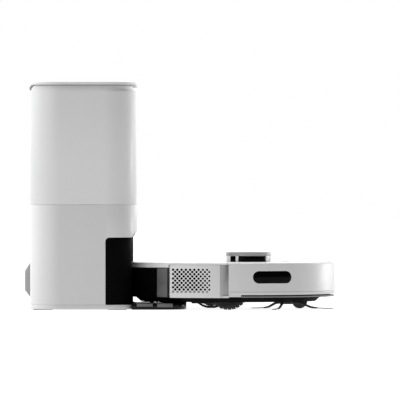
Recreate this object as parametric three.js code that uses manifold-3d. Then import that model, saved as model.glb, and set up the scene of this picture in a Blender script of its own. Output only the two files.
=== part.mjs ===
// A robot vacuum standing in its self-emptying dock, as an assembly of separate pieces.
// Millimetres. +X is the robot's way out of the dock, +Z is up, and the origin is at the
// middle of the footprint, on the floor.
import * as THREE from "three";
import { mergeVertices } from "three/addons/utils/BufferGeometryUtils.js";
import Module from "manifold-3d";

const wasm = await Module();
wasm.setup();

// ---------------------------------------------------------------- driving dimensions

const GAP = 0.3; // clearance between pieces that touch
const RUNNING_GAP = 0.3; // clearance of a shaft in its bore
const MERGE_DISTANCE = 1e-4;
const STEPS = { round: 72, large: 48, medium: 24, small: 16, corner: 3 };
const FAR = 1000; // half-size of a cutting block

// The tower of the dock.
const TOWER = {
  back: -243, front: -72, halfWidth: 150, corner: 50, wall: 3,
  bottom: 8.5, seam: 170, shoulder: 352.5, top: 363.2,
};
const COVE = { inset: 2.5, frontInset: 5.2, bottom: 354 };
const LID = { bottom: 363.5, top: 368, edge: 1, overhang: 0.8 };
const HINGE = { x: -240.5, z: 359, knuckle: 5, pin: 1.5, halfLength: 60, pinHalfLength: 68, cheek: 3 };
const GASKET = { inset: 14, width: 5, bottom: 352.2 };
const BAY = { back: -120.4, front: -78.6, top: 116.6, roof: 105, floor: 11.5, inset: 2, corner: 46 };
const SHELL_CUT = { top: 117, chamfer: 10 };
const BASE = { bottom: 2.5, top: 8.2, inset: 1.2, front: -78.4 };
const FOOT = { radius: 16, x: [-222, -102], y: 112, height: 2.2 };
const RAMP = {
  back: -78, front: 10, halfWidth: 140, corner: 40, bottom: 0.6, top: 11.2, lipBack: -6, lip: 12,
};
const REAR_COVER = { depth: 10, bottom: 18.4, top: 77.5, flatBottom: 31, flatTop: 62, halfWidth: 62 };
const INLET = { y: -84, z: 34, halfWidth: 12, halfHeight: 8, depth: 16, rim: 3, pin: 1.2, pinGap: 4.3 };
const LINER = {
  back: -227, front: -87, left: 98, right: -138, wall: 2, bottom: 173.6, top: 348, flange: 4, corner: 38,
};
const BAG = { back: -213, front: -101, left: 84, right: -126, bottom: 180, top: 322, corner: 24, edge: 12 };
const COLLAR = { thickness: 2.5, halfWidth: 42, bottom: 236, top: 332, hole: 17 };
const PORT = { y: 30, z: 45, bore: 15, wall: 3, seal: 21, sealBack: -106.3, sealFront: -98.4 };
const DUCT = { x: -152, y: 124, outletZ: 286, outletDepth: 5, gap: 0.6, sides: 10, steps: 24 };
// The line of the dust duct: back from the bay's port, across and up the tower, and in to the bag.
const DUCT_ROUTE = [
  [-120.7, 30, 45], [-132.7, 30, 45], [-148, 48, 48], [-152, 102, 65], [-152, 124, 110],
  [-152, 124, 170], [-152, 124, 226], [-152, 122, 264], [-152, 108, 284], [-152, 95, 286],
];
const MOTOR = { x: -178, y: -46, radius: 50, wall: 4, bottom: 40, floor: 108, top: 150, shaftTop: 142 };
const MOTOR_LEG = { radius: 5, circle: 40, angles: [45, 135, 225, 315] };
const IMPELLER = { radius: 44, bore: 4.3, hub: 12, bottom: 110, plate: 3, top: 138 };
const BLADES = { count: 9, thickness: 1.6, step: 4 }; // step is how far they stop below the hub's top
const FILTER = { back: -236, front: -214, right: 26, left: 96, bottom: 70, top: 140, pleats: 9 };
const PLEAT_BORDER = 3; // the frame above and below a filter's pleats
const POWER_BOARD = { back: -228, front: -136, right: 14, left: 96, bottom: 14, thickness: 1.6, top: 27 };
const TRANSFORMER = { back: -218.8, front: -186.6, right: 22, left: 54 };
const CAPACITOR = { x: -209.6, y: 76, radius: 9 };
const HEAT_SINK = { back: -191.2, front: -177.4, right: 66, left: 88, top: 23 };
const LENS = { halfWidth: 9, z: 318, halfHeight: 2, depth: 2.4 };
const CONTACT = {
  x: -47, y: 25, radius: 4.5, bottom: 6, side: 10.3, dome: 3.1, crown: 11.5, top: 11.9, well: 3.5,
};

// The robot. Its pieces are placed about its own vertical axis.
const ROBOT_X = 78;
const BODY = { radius: 175, deck: 76.5, deckUnder: 73.3, shellTop: 73, shellBottom: 20, wall: 4 };
const DECK_EDGE = { side: 174, sideZ: 75.4, top: 171.6 };
const SIDE_SHELL = { end: 123, bevel: 10, thinned: 172.6 };
// The seam is the bumper's 3 mm of travel and 0.4 mm over.
const BUMPER = {
  inner: 171.6, lip: 169.5, lipBottom: 74.5, bottom: 20.5, foot: 174, footTop: 24, seam: 3.4,
  sideTop: 72.5, shoulder: 173.8, shoulderZ: 75.3, crown: 171,
};
const PAN = {
  radius: 143, rim: 152, wall: 3, bottom: 12.5, floor: 16, top: 20, flangeTop: 23, flange: 170.7,
  flangeFront: 170.5,
};
const INNER_WALL = { outer: 160.5, inner: 158, top: 72.8, start: -93 };
const TANK = { front: -96, radius: 174.6, bottom: 20.5, top: 67.9, wall: 2.2 };
const TANK_INLET = { halfWidth: 34, bottom: 25, top: 41 };
const THROAT = { halfWidth: 38, bottom: 20, top: 45 };
const FILTER_WINDOW_RIM = 2; // how far the bay wall overlaps the filter's edge
const TANK_FILTER = { right: -70, left: -22, bottom: 46.5, top: 65.5, depth: 5, pleats: 8 };
const BAY_WALL = { back: -94, front: -91.5, halfWidth: 125, top: 72 };
const SKIRT = { bottom: 68.3, inner: 170, front: -96.6 };
const SIDE_WINDOW = { angle: 65.8, halfSpan: 11.3 };
const FRONT_WINDOW = { angle: 0, halfSpan: 8.6 };
const WINDOW = { bottom: 43.2, top: 63.1, inner: 172.1, outer: 174.4, gap: 0.35 };
const LIDAR = {
  x: 33.4, cap: 37, capBottom: 85.9, capTop: 92.5, post: 36.6, postInner: 34.9, ring: 34.6,
  ringInner: 33.2, glass: 36.2, ringTop: 85.5, foot: 76.8, opening: 31, cup: 33, cupWall: 1.6,
  cupBottom: 60, edge: 1.4, head: 28, headBottom: 66, headTop: 84.9, stem: 10, stemBottom: 57,
};
// The posts between the lidar's windows: where each starts and ends round the turret, in degrees.
const POSTS = [[-39, -18], [18, 39], [117.5, 125.5], [145, 215], [234.5, 242.5]];
const OPTICS = { depth: 9, halfWidth: 11, bottom: 75.9, top: 81.9 };
const POST_GAP = 0.8; // degrees between a post and the glass beside it
const BUTTON = {
  x: 92, y: 13, radius: 8.5, top: 77.3, bottom: 70, stem: 3, stemBottom: 66.6, gap: 0.4, edge: 0.6,
};
const WHEEL = { radius: 35, hub: 27, y: 109, width: 18, axle: 3, z: 35 };
const HUB = { inset: 0.5, rim: 5, dish: 4, nave: 8, naveDepth: 5 };
const ARM = {
  x: 52, z: 40, inner: 92, outer: 98, boss: 8, pin: 2, post: 4, postHalf: 6, insideGap: 1.5, outsideGap: 2,
};
const WELL = {
  back: -38, front: 46.5, inner: 106, outer: 130, armBack: -12, armFront: 61, armInner: 91,
  armOuter: 99.5, axleFront: 24, top: 36,
};
const CASTER = {
  pivot: 112, trail: 5, radius: 13, width: 12, axle: 1.5, fork: 19.5, forkBottom: 15, forkTop: 32.5,
  slotTop: 27.5, slotHalf: 6.7, lug: 9.4, lugHalf: 4, lugBottom: 8.5, stem: 4, stemTop: 40,
  socket: 20.5, boss: 24, bossTop: 44, slotEnd: 4,
};
const SIDE_BRUSH = {
  x: 94, y: -86, hub: 11, bottom: 8.5, top: 15.5, stem: 3, stemTop: 27, well: 12.5, boss: 16,
  bossTop: 31,
};
const BRUSH_ARMS = { first: 14, count: 3, halfWidth: 1.25 };
// Side view of one arm: how far out and how high its outline runs, down to the tip and back.
const ARM_OUTLINE = [[5, 13], [16, 11], [47, 3.6], [80, 2], [80, 0.6], [47, 1.4], [16, 8.6], [5, 9]];
const MAIN_BRUSH = { x: -28, z: 24, radius: 20, core: 9, halfLength: 80, fins: 6, fin: 2.5, journal: 4 };
const HOOD = { back: -54, front: -2, halfWidth: 86, top: 50, chamber: 22, chamberHalf: 82.5 };
const BRUSH_COVER = {
  back: -60, front: -1, bottom: 9.6, top: 12.2, slot: 21, halfWidth: 90, corner: 8, edge: 0.8,
};
// The guard ribs that pass under the main brush, as offsets from its axis and heights.
const GUARD = {
  profile: [
    [-23, 9.6], [-14, 4.2], [-6, 1.8], [6, 1.8], [14, 4.2], [23, 9.6],
    [23, 11.6], [14, 6], [6, 3.2], [-6, 3.2], [-14, 6], [-23, 11.6],
  ],
  y: [-60, -20, 20, 60],
  width: 3,
};
const BATTERY = { back: 2, front: 66, halfWidth: 70, bottom: 16.5, top: 44, corner: 8, edge: 2 };
const BOARD = { back: 0, front: 104, halfWidth: 40, bottom: 48, thickness: 1.6 };
// The chips on the main board: back, front, right, left and top.
const CHIPS = [[6.8, 23, -30, -8, 54], [17.6, 28.4, 12, 30, 52]];
const SWITCH = { half: 3, top: 64.8 };
const FAN = { x: -42, y: -48, radius: 28, bottom: 51, top: 71, edge: 4, eye: 12, eyeDepth: 8 };
const PAD = { x: -125, y: 25, halfLength: 12, halfWidth: 7, bottom: 12.2, top: 13.6 };

// ---------------------------------------------------------------- materials

function plastic(color, roughness) {
  return new THREE.MeshStandardMaterial({ color, roughness, metalness: 0 });
}

function metal(color, roughness) {
  return new THREE.MeshStandardMaterial({ color, roughness, metalness: 1 });
}

const white = () => plastic(0xeeeeee, 0.35);
const grey = () => plastic(0xa0a0a2, 0.45);
const black = () => plastic(0x101011, 0.35);
const glossBlack = () => plastic(0x050505, 0.08);
const rubber = () => plastic(0x161616, 0.85);
const board = () => plastic(0x14502c, 0.5);
const steel = () => metal(0xc4c4c8, 0.3);
const brass = () => metal(0xd9b45f, 0.3);
const paper = () => plastic(0xdcd8cc, 0.9);

// ---------------------------------------------------------------- solids

// A closed geometry as a solid that can be joined and cut, with its faces turned outwards.
function solidOf(geometry) {
  const plain = new THREE.BufferGeometry();
  plain.setAttribute("position", geometry.getAttribute("position"));
  plain.setIndex(geometry.index);
  const merged = mergeVertices(plain, MERGE_DISTANCE);
  const corners = [];
  for (let i = 0; i < merged.index.count; i += 3) {
    const face = [0, 1, 2].map((k) => merged.index.getX(i + k));
    if (new Set(face).size === 3) corners.push(face);
  }
  const build = (faces) =>
    new wasm.Manifold(
      new wasm.Mesh({
        numProp: 3,
        vertProperties: new Float32Array(merged.attributes.position.array),
        triVerts: new Uint32Array(faces.flat()),
      }),
    );
  const made = build(corners);
  return made.volume() > 0 ? made : build(corners.map(([a, b, c]) => [a, c, b]));
}

const join = (...solids) => solids.reduce((a, b) => a.add(b));
const cut = (solid, ...tools) => tools.reduce((a, b) => a.subtract(b), solid);
const common = (...solids) => solids.reduce((a, b) => a.intersect(b));

function block(x0, x1, y0, y1, z0, z1) {
  const box = new THREE.BoxGeometry(x1 - x0, y1 - y0, z1 - z0);
  box.translate((x0 + x1) / 2, (y0 + y1) / 2, (z0 + z1) / 2);
  return solidOf(box);
}

// Everything with x above (or below) a plane, for cutting.
const ahead = (x) => block(x, FAR, -FAR, FAR, -FAR, FAR);
const behind = (x) => block(-FAR, x, -FAR, FAR, -FAR, FAR);

// A rectangle with rounded corners, in plan.
function roundedRectangle(x0, x1, y0, y1, radius) {
  const shape = new THREE.Shape();
  const quarter = Math.PI / 2;
  shape.absarc(x1 - radius, y0 + radius, radius, -quarter, 0);
  shape.absarc(x1 - radius, y1 - radius, radius, 0, quarter);
  shape.absarc(x0 + radius, y1 - radius, radius, quarter, 2 * quarter);
  shape.absarc(x0 + radius, y0 + radius, radius, 2 * quarter, 3 * quarter);
  shape.closePath();
  return shape;
}

// A shape pushed up from z0 to z1, with its top and bottom edges chamfered by edge.
function prism(shape, z0, z1, edge = 0, segments = STEPS.corner) {
  const solid = new THREE.ExtrudeGeometry(shape, {
    depth: z1 - z0 - 2 * edge,
    curveSegments: segments,
    bevelEnabled: edge > 0,
    bevelThickness: edge,
    bevelSize: edge,
    bevelOffset: -edge,
    bevelSegments: 1,
  });
  solid.translate(0, 0, z0 + edge);
  return solidOf(solid);
}

// A shape drawn in x and z, pushed along y.
function sidePrism(shape, y0, y1, segments = STEPS.corner) {
  const solid = new THREE.ExtrudeGeometry(shape, {
    depth: y1 - y0,
    curveSegments: segments,
    bevelEnabled: false,
  });
  solid.rotateX(Math.PI / 2);
  solid.translate(0, y1, 0);
  return solidOf(solid);
}

const outline = (points) => new THREE.Shape(points.map(([u, v]) => new THREE.Vector2(u, v)));

function disc(x, y, radius, z0, z1, steps = STEPS.medium) {
  const cylinder = new THREE.CylinderGeometry(radius, radius, z1 - z0, steps);
  cylinder.rotateX(Math.PI / 2);
  cylinder.translate(x, y, (z0 + z1) / 2);
  return solidOf(cylinder);
}

function rodAlongY(x, z, radius, y0, y1, steps = STEPS.small) {
  const cylinder = new THREE.CylinderGeometry(radius, radius, y1 - y0, steps);
  cylinder.translate(x, (y0 + y1) / 2, z);
  return solidOf(cylinder);
}

function rodAlongX(y, z, radius, x0, x1, steps = STEPS.small) {
  const cylinder = new THREE.CylinderGeometry(radius, radius, x1 - x0, steps);
  cylinder.rotateZ(Math.PI / 2);
  cylinder.translate((x0 + x1) / 2, y, z);
  return solidOf(cylinder);
}

// A profile of radius and height turned about the vertical axis at x, y.
function turned(profile, x = 0, y = 0, steps = STEPS.large) {
  const points = profile.map(([r, z]) => new THREE.Vector2(r, z));
  const lathe = new THREE.LatheGeometry(points, steps);
  lathe.rotateX(Math.PI / 2);
  lathe.translate(x, y, 0);
  return solidOf(lathe);
}

function ring(inner, outer, z0, z1, x = 0, y = 0, steps = STEPS.large) {
  return turned([[inner, z0], [outer, z0], [outer, z1], [inner, z1], [inner, z0]], x, y, steps);
}

// The part of a turn between two angles, as a wedge for cutting.
function wedge(from, to, x = 0, y = 0, segments = STEPS.small / 2) {
  const shape = new THREE.Shape();
  shape.absarc(x, y, FAR, THREE.MathUtils.degToRad(from), THREE.MathUtils.degToRad(to));
  shape.lineTo(x, y);
  shape.closePath();
  return prism(shape, -FAR, FAR, 0, segments);
}

function pill(halfLength, halfHeight) {
  const shape = new THREE.Shape();
  const reach = halfLength - halfHeight;
  shape.absarc(reach, 0, halfHeight, -Math.PI / 2, Math.PI / 2);
  shape.absarc(-reach, 0, halfHeight, Math.PI / 2, (3 * Math.PI) / 2);
  shape.closePath();
  return shape;
}

// A solid as a named mesh.
function add(group, name, solid, material) {
  const made = solid.getMesh();
  const geometry = new THREE.BufferGeometry();
  geometry.setAttribute("position", new THREE.BufferAttribute(made.vertProperties, made.numProp));
  geometry.setIndex(new THREE.BufferAttribute(made.triVerts, 1));
  geometry.computeVertexNormals();
  const mesh = new THREE.Mesh(geometry, material);
  mesh.name = name;
  group.add(mesh);
}

// ---------------------------------------------------------------- dock

// The tower's plan, drawn in by inset on each side.
function towerPlan(inset, frontInset = inset) {
  return roundedRectangle(
    TOWER.back + inset, TOWER.front - frontInset,
    -TOWER.halfWidth + inset, TOWER.halfWidth - inset,
    TOWER.corner - inset,
  );
}

function basePlate() {
  const plate = common(prism(towerPlan(BASE.inset), BASE.bottom, BASE.top), behind(BASE.front));
  const legs = MOTOR_LEG.angles.map((degrees) => {
    const angle = THREE.MathUtils.degToRad(degrees);
    const x = MOTOR.x + MOTOR_LEG.circle * Math.cos(angle);
    const y = MOTOR.y + MOTOR_LEG.circle * Math.sin(angle);
    return disc(x, y, MOTOR_LEG.radius, BASE.top - 1, MOTOR.bottom - GAP, STEPS.small);
  });
  return join(plate, ...legs);
}

function feet(group) {
  const places = { rear: FOOT.x[0], front: FOOT.x[1] };
  for (const [end, x] of Object.entries(places)) {
    for (const [side, y] of [["left", FOOT.y], ["right", -FOOT.y]]) {
      add(group, `foot_${end}_${side}`, disc(x, y, FOOT.radius, 0, FOOT.height, STEPS.small), rubber());
    }
  }
}

function ductHole(z0, z1) {
  return disc(DUCT.x, DUCT.y, PORT.bore + PORT.wall + DUCT.gap, z0, z1, STEPS.small);
}

function lowerShell() {
  const top = TOWER.seam - GAP / 2;
  const tube = cut(
    prism(towerPlan(0), TOWER.bottom, top),
    prism(towerPlan(TOWER.wall), TOWER.bottom - 1, top + 1),
  );
  const cutTop = SHELL_CUT.top;
  const mouth = block(BAY.back, FAR, -FAR, FAR, 0, cutTop);
  const lip = outline([
    [TOWER.front + 1, cutTop - 1], [TOWER.front + 1, cutTop + SHELL_CUT.chamfer],
    [TOWER.front, cutTop + SHELL_CUT.chamfer], [TOWER.front - COVE.frontInset, cutTop - 1],
  ]);
  const inlet = block(
    TOWER.back - 1, TOWER.back + TOWER.wall + 1,
    INLET.y - INLET.halfWidth - GAP, INLET.y + INLET.halfWidth + GAP,
    INLET.z - INLET.halfHeight - GAP, INLET.z + INLET.halfHeight + GAP,
  );
  return cut(tube, mouth, sidePrism(lip, -FAR, FAR), inlet);
}

function upperShell() {
  const bottom = TOWER.seam + GAP / 2;
  const height = TOWER.top - TOWER.shoulder;
  const shoulder = new THREE.ExtrudeGeometry(towerPlan(COVE.inset), {
    depth: 2 * height, curveSegments: STEPS.corner, bevelEnabled: true,
    bevelThickness: height, bevelSize: COVE.inset, bevelSegments: 1,
  });
  shoulder.translate(0, 0, TOWER.shoulder - 2 * height);
  const body = join(prism(towerPlan(0), bottom, TOWER.shoulder), solidOf(shoulder));
  const hollow = prism(towerPlan(TOWER.wall + COVE.inset), bottom + TOWER.wall, TOWER.top + 1);
  const fingerRecess = block(
    TOWER.front - COVE.frontInset, FAR, -FAR, FAR, COVE.bottom, TOWER.top + 1,
  );
  const setBack = cut(
    prism(towerPlan(COVE.inset, COVE.frontInset), COVE.bottom - TOWER.wall, TOWER.top),
    prism(
      towerPlan(COVE.inset + TOWER.wall, COVE.frontInset + TOWER.wall), COVE.bottom - FAR, TOWER.top + 1,
    ),
    behind(TOWER.front - TOWER.corner),
  );
  const hingeNotch = block(
    -FAR, HINGE.x + HINGE.knuckle + 1, -HINGE.halfLength - 1, HINGE.halfLength + 1,
    HINGE.z - HINGE.knuckle - 1, TOWER.top + 1,
  );
  const cheeks = [1, -1].map((side) => {
    const ends = [side * (HINGE.halfLength + 1), side * (HINGE.pinHalfLength + HINGE.cheek)];
    const y = ends.sort((a, b) => a - b);
    return block(
      TOWER.back + COVE.inset, HINGE.x + HINGE.knuckle, y[0], y[1],
      HINGE.z - HINGE.knuckle, TOWER.top,
    );
  });
  const pinHole = rodAlongY(
    HINGE.x, HINGE.z, HINGE.pin + RUNNING_GAP, -HINGE.pinHalfLength - GAP, HINGE.pinHalfLength + GAP,
  );
  const lens = block(
    TOWER.front - LENS.depth, TOWER.front + 1, -LENS.halfWidth, LENS.halfWidth,
    LENS.z - LENS.halfHeight, LENS.z + LENS.halfHeight,
  );
  const shell = cut(body, hollow, fingerRecess);
  return cut(
    join(shell, setBack, ...cheeks),
    hingeNotch, pinHole, lens, ductHole(bottom - 1, bottom + TOWER.wall + 1),
  );
}

function statusLens() {
  return block(
    TOWER.front - LENS.depth + GAP, TOWER.front, -LENS.halfWidth + GAP, LENS.halfWidth - GAP,
    LENS.z - LENS.halfHeight + GAP, LENS.z + LENS.halfHeight - GAP,
  );
}

function lid() {
  const plan = roundedRectangle(
    TOWER.back, TOWER.front + LID.overhang, -TOWER.halfWidth, TOWER.halfWidth, TOWER.corner,
  );
  const plate = prism(plan, LID.bottom, LID.top, LID.edge);
  const knuckle = rodAlongY(HINGE.x, HINGE.z, HINGE.knuckle, -HINGE.halfLength, HINGE.halfLength);
  const web = block(
    TOWER.back + 1, HINGE.x + HINGE.knuckle, -HINGE.halfLength, HINGE.halfLength,
    HINGE.z, LID.bottom + LID.edge,
  );
  const bore = rodAlongY(
    HINGE.x, HINGE.z, HINGE.pin + RUNNING_GAP, -HINGE.halfLength - 1, HINGE.halfLength + 1,
  );
  return cut(join(plate, knuckle, web), bore);
}

function lidGasket() {
  const top = LID.bottom - GAP;
  return cut(
    prism(towerPlan(GASKET.inset), GASKET.bottom, top),
    prism(towerPlan(GASKET.inset + GASKET.width), GASKET.bottom - 1, top + 1),
  );
}

const hingePin = () =>
  rodAlongY(HINGE.x, HINGE.z, HINGE.pin, -HINGE.pinHalfLength, HINGE.pinHalfLength);

// The hole where the duct reaches the bag chamber.
const ductOutlet = () =>
  rodAlongY(DUCT.x, DUCT.outletZ, PORT.bore + PORT.wall + DUCT.gap, LINER.left - DUCT.outletDepth,
    LINER.left + DUCT.outletDepth);

function bagBayLiner() {
  const { back, front, left, right, wall, bottom, top, flange, corner } = LINER;
  const plan = (margin) =>
    roundedRectangle(
      back - margin, front + margin, right - margin, left + margin, corner + margin / 2,
    );
  const tub = join(prism(plan(0), bottom, top), prism(plan(flange), top - wall, top));
  return cut(tub, prism(plan(-wall), bottom + wall, top + 1), ductOutlet());
}

function dustBag() {
  const plan = roundedRectangle(BAG.back, BAG.front, BAG.right, BAG.left, BAG.corner);
  return prism(plan, BAG.bottom, BAG.top, BAG.edge);
}

// The stiff card that the bag hangs from, with the hole that the dust comes in through.
function bagCollar() {
  const y0 = BAG.left + GAP;
  const card = block(
    DUCT.x - COLLAR.halfWidth, DUCT.x + COLLAR.halfWidth, y0, y0 + COLLAR.thickness,
    COLLAR.bottom, COLLAR.top,
  );
  return cut(card, rodAlongY(DUCT.x, DUCT.outletZ, COLLAR.hole, y0 - 1, y0 + COLLAR.thickness + 1));
}

function bayInsert() {
  const plan = roundedRectangle(
    TOWER.back, BAY.front, -TOWER.halfWidth + BAY.inset, TOWER.halfWidth - BAY.inset, BAY.corner,
  );
  const full = common(prism(plan, BASE.top + GAP, BAY.top), ahead(BAY.back));
  const scoop = disc(ROBOT_X, 0, BODY.radius + BAY.inset + 1, BAY.floor, BAY.roof, STEPS.round);
  const port = rodAlongX(PORT.y, PORT.z, PORT.bore, BAY.back - 1, 0);
  const seat = rodAlongX(PORT.y, PORT.z, PORT.seal + GAP, PORT.sealBack - GAP, 0);
  return cut(full, scoop, port, seat);
}

function suctionPortSeal() {
  return cut(
    rodAlongX(PORT.y, PORT.z, PORT.seal, PORT.sealBack, PORT.sealFront),
    rodAlongX(PORT.y, PORT.z, PORT.bore, PORT.sealBack - 1, PORT.sealFront + 1),
  );
}

function suctionDuct() {
  const route = new THREE.CatmullRomCurve3(
    DUCT_ROUTE.map((point) => new THREE.Vector3(...point)), false, "centripetal",
  );
  const section = new THREE.Shape();
  section.absarc(0, 0, PORT.bore + PORT.wall, 0, 2 * Math.PI);
  const bore = new THREE.Path();
  bore.absarc(0, 0, PORT.bore, 0, 2 * Math.PI, true);
  section.holes.push(bore);
  const tube = new THREE.ExtrudeGeometry(section, {
    steps: DUCT.steps, extrudePath: route, curveSegments: DUCT.sides / 2, bevelEnabled: false,
  });
  return common(solidOf(tube), behind(BAY.back - GAP));
}

function suctionMotor() {
  const { x, y, radius, wall, bottom, floor, top } = MOTOR;
  const can = cut(
    disc(x, y, radius, bottom, top),
    disc(x, y, radius - wall, floor, top + 1),
  );
  const shaft = disc(x, y, IMPELLER.bore - RUNNING_GAP, floor - 1, MOTOR.shaftTop, STEPS.small);
  return join(can, shaft);
}

function fanImpeller() {
  const { radius, bore, hub, bottom, plate, top } = IMPELLER;
  const bladeTop = top - BLADES.step;
  const parts = [disc(0, 0, radius, bottom, bottom + plate), disc(0, 0, hub, bottom, top, STEPS.small)];
  for (let i = 0; i < BLADES.count; i++) {
    const blade = new THREE.BoxGeometry(radius - hub, BLADES.thickness, bladeTop - bottom);
    blade.translate((radius + hub) / 2 - 1, 0, (bladeTop + bottom) / 2);
    blade.rotateZ((i * 2 * Math.PI) / BLADES.count);
    parts.push(solidOf(blade));
  }
  const wheel = cut(join(...parts), disc(0, 0, bore, bottom - 1, top + 1, STEPS.small));
  return wheel.translate(MOTOR.x, MOTOR.y, 0);
}

// A pleated filter between two planes of x.
function pleatedFilter(x0, x1, y0, y1, z0, z1, pleats) {
  const pitch = (y1 - y0) / pleats;
  const frame = block(x0, x1, y0, y1, z0, z1);
  const grooves = [];
  for (let i = 0; i < pleats; i++) {
    const start = y0 + i * pitch + pitch / 4;
    grooves.push(block(
      (x0 + x1) / 2, x1 + 1, start, start + pitch / 2, z0 + PLEAT_BORDER, z1 - PLEAT_BORDER,
    ));
  }
  return cut(frame, ...grooves);
}

const exhaustFilter = () =>
  pleatedFilter(
    FILTER.back, FILTER.front, FILTER.right, FILTER.left, FILTER.bottom, FILTER.top, FILTER.pleats,
  );

function powerBoard() {
  const { back, front, right, left, bottom, thickness, top } = POWER_BOARD;
  return join(
    block(back, front, right, left, bottom, bottom + thickness),
    block(TRANSFORMER.back, TRANSFORMER.front, TRANSFORMER.right, TRANSFORMER.left, bottom, top),
    disc(CAPACITOR.x, CAPACITOR.y, CAPACITOR.radius, bottom, top, STEPS.small),
    block(HEAT_SINK.back, HEAT_SINK.front, HEAT_SINK.right, HEAT_SINK.left, bottom, HEAT_SINK.top),
  );
}

function rearCover() {
  const { depth, bottom, top, flatBottom, flatTop, halfWidth } = REAR_COVER;
  const face = TOWER.back - GAP;
  const profile = outline([
    [face, bottom], [face, top], [TOWER.back - depth, flatTop], [TOWER.back - depth, flatBottom],
  ]);
  return sidePrism(profile, -halfWidth, halfWidth);
}

// The mains inlet: a recessed two-pin socket in the back wall.
function mainsInlet() {
  const x0 = TOWER.back;
  const socket = new THREE.ExtrudeGeometry(pill(INLET.halfWidth - INLET.rim, INLET.halfHeight - INLET.rim), {
    depth: INLET.depth, curveSegments: STEPS.corner, bevelEnabled: false,
  });
  socket.rotateX(Math.PI / 2);
  socket.rotateZ(Math.PI / 2);
  socket.translate(x0 - INLET.rim, INLET.y, INLET.z);
  const housing = block(
    x0, x0 + INLET.depth, INLET.y - INLET.halfWidth, INLET.y + INLET.halfWidth,
    INLET.z - INLET.halfHeight, INLET.z + INLET.halfHeight,
  );
  const pins = [-1, 1].map((side) =>
    rodAlongX(
      INLET.y + side * INLET.pinGap, INLET.z, INLET.pin, x0 + 1, x0 + INLET.depth - 1, STEPS.small,
    ),
  );
  return join(cut(housing, solidOf(socket)), ...pins);
}

function dockingRamp() {
  const plan = roundedRectangle(
    RAMP.back - RAMP.corner, RAMP.front, -RAMP.halfWidth, RAMP.halfWidth, RAMP.corner,
  );
  const plate = common(prism(plan, RAMP.bottom, RAMP.top, 1), ahead(RAMP.back));
  const lip = common(prism(plan, RAMP.bottom + 1, RAMP.lip, 1), ahead(RAMP.lipBack));
  const wells = [-1, 1].map((side) =>
    disc(CONTACT.x, side * CONTACT.y, CONTACT.radius + RUNNING_GAP, CONTACT.well, FAR, STEPS.small),
  );
  return cut(join(plate, lip), ...wells);
}

// A sprung contact with a domed top.
function chargeContact(side) {
  const { radius, bottom, side: edge, dome, crown, top } = CONTACT;
  const profile = [[0, bottom], [radius, bottom], [radius, edge], [dome, crown], [0, top]];
  return turned(profile, CONTACT.x, side * CONTACT.y, STEPS.small);
}

function dock() {
  const group = new THREE.Group();
  add(group, "base_plate", basePlate(), white());
  feet(group);
  add(group, "lower_shell", lowerShell(), white());
  add(group, "upper_shell", upperShell(), white());
  add(group, "lid", lid(), white());
  add(group, "lid_gasket", lidGasket(), rubber());
  add(group, "lid_hinge_pin", hingePin(), steel());
  add(group, "bag_bay_liner", bagBayLiner(), grey());
  add(group, "dust_bag", dustBag(), paper());
  add(group, "bag_collar", bagCollar(), paper());
  add(group, "bay_insert", bayInsert(), glossBlack());
  add(group, "suction_port_seal", suctionPortSeal(), rubber());
  add(group, "suction_duct", suctionDuct(), black());
  add(group, "suction_motor", suctionMotor(), black());
  add(group, "fan_impeller", fanImpeller(), grey());
  add(group, "exhaust_filter", exhaustFilter(), paper());
  add(group, "power_board", powerBoard(), board());
  add(group, "rear_cover", rearCover(), grey());
  add(group, "mains_inlet", mainsInlet(), black());
  add(group, "status_lens", statusLens(), white());
  add(group, "docking_ramp", dockingRamp(), glossBlack());
  add(group, "charge_contact_left", chargeContact(1), brass());
  add(group, "charge_contact_right", chargeContact(-1), brass());
  return group;
}

// ---------------------------------------------------------------- robot

// The circle that the bumper's inside must clear when it is pushed fully back.
const clearedByBumper = (radius, z0, z1) => disc(-BUMPER.seam, 0, radius, z0, z1, STEPS.round);

function casterBoss() {
  return disc(CASTER.pivot, 0, CASTER.boss, PAN.bottom, CASTER.bossTop);
}

function casterSocket() {
  return join(
    disc(CASTER.pivot, 0, CASTER.socket, 0, CASTER.forkTop + GAP),
    disc(CASTER.pivot, 0, CASTER.stem + RUNNING_GAP, 0, CASTER.stemTop + 1, STEPS.small),
  );
}

function sideBrushSocket() {
  const { x, y, well, top, stem, stemTop } = SIDE_BRUSH;
  return join(
    disc(x, y, well, 0, top + 1),
    disc(x, y, stem + RUNNING_GAP, 0, stemTop + 1, STEPS.small),
  );
}

// The openings that a drive wheel and its arm drop through.
function wheelWell(side) {
  const span = (y0, y1) => (side > 0 ? [y0, y1] : [-y1, -y0]);
  const well = (x0, x1, y0, y1) => block(x0, x1, ...span(y0, y1), 0, WELL.top);
  return join(
    well(WELL.back, WELL.front, WELL.inner, WELL.outer),
    well(WELL.armBack, WELL.armFront, WELL.armInner, WELL.armOuter),
    well(WELL.armBack, WELL.axleFront, WELL.armOuter - 1, WELL.inner + 1),
  );
}

// The two posts and the pin that carry a wheel arm.
function armMount(side) {
  const at = (y0, y1) => (side > 0 ? [y0, y1] : [-y1, -y0]);
  const post = (y0, y1) =>
    block(
      ARM.x - ARM.postHalf, ARM.x + ARM.postHalf, ...at(y0, y1), PAN.floor - 1, ARM.z + ARM.postHalf,
    );
  const inner = ARM.inner - ARM.insideGap;
  const outer = ARM.outer + ARM.outsideGap;
  return join(
    post(inner - ARM.post, inner),
    post(outer, outer + ARM.post),
    rodAlongY(ARM.x, ARM.z, ARM.pin, ...at(inner - 1, outer + 1)),
  );
}

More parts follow.
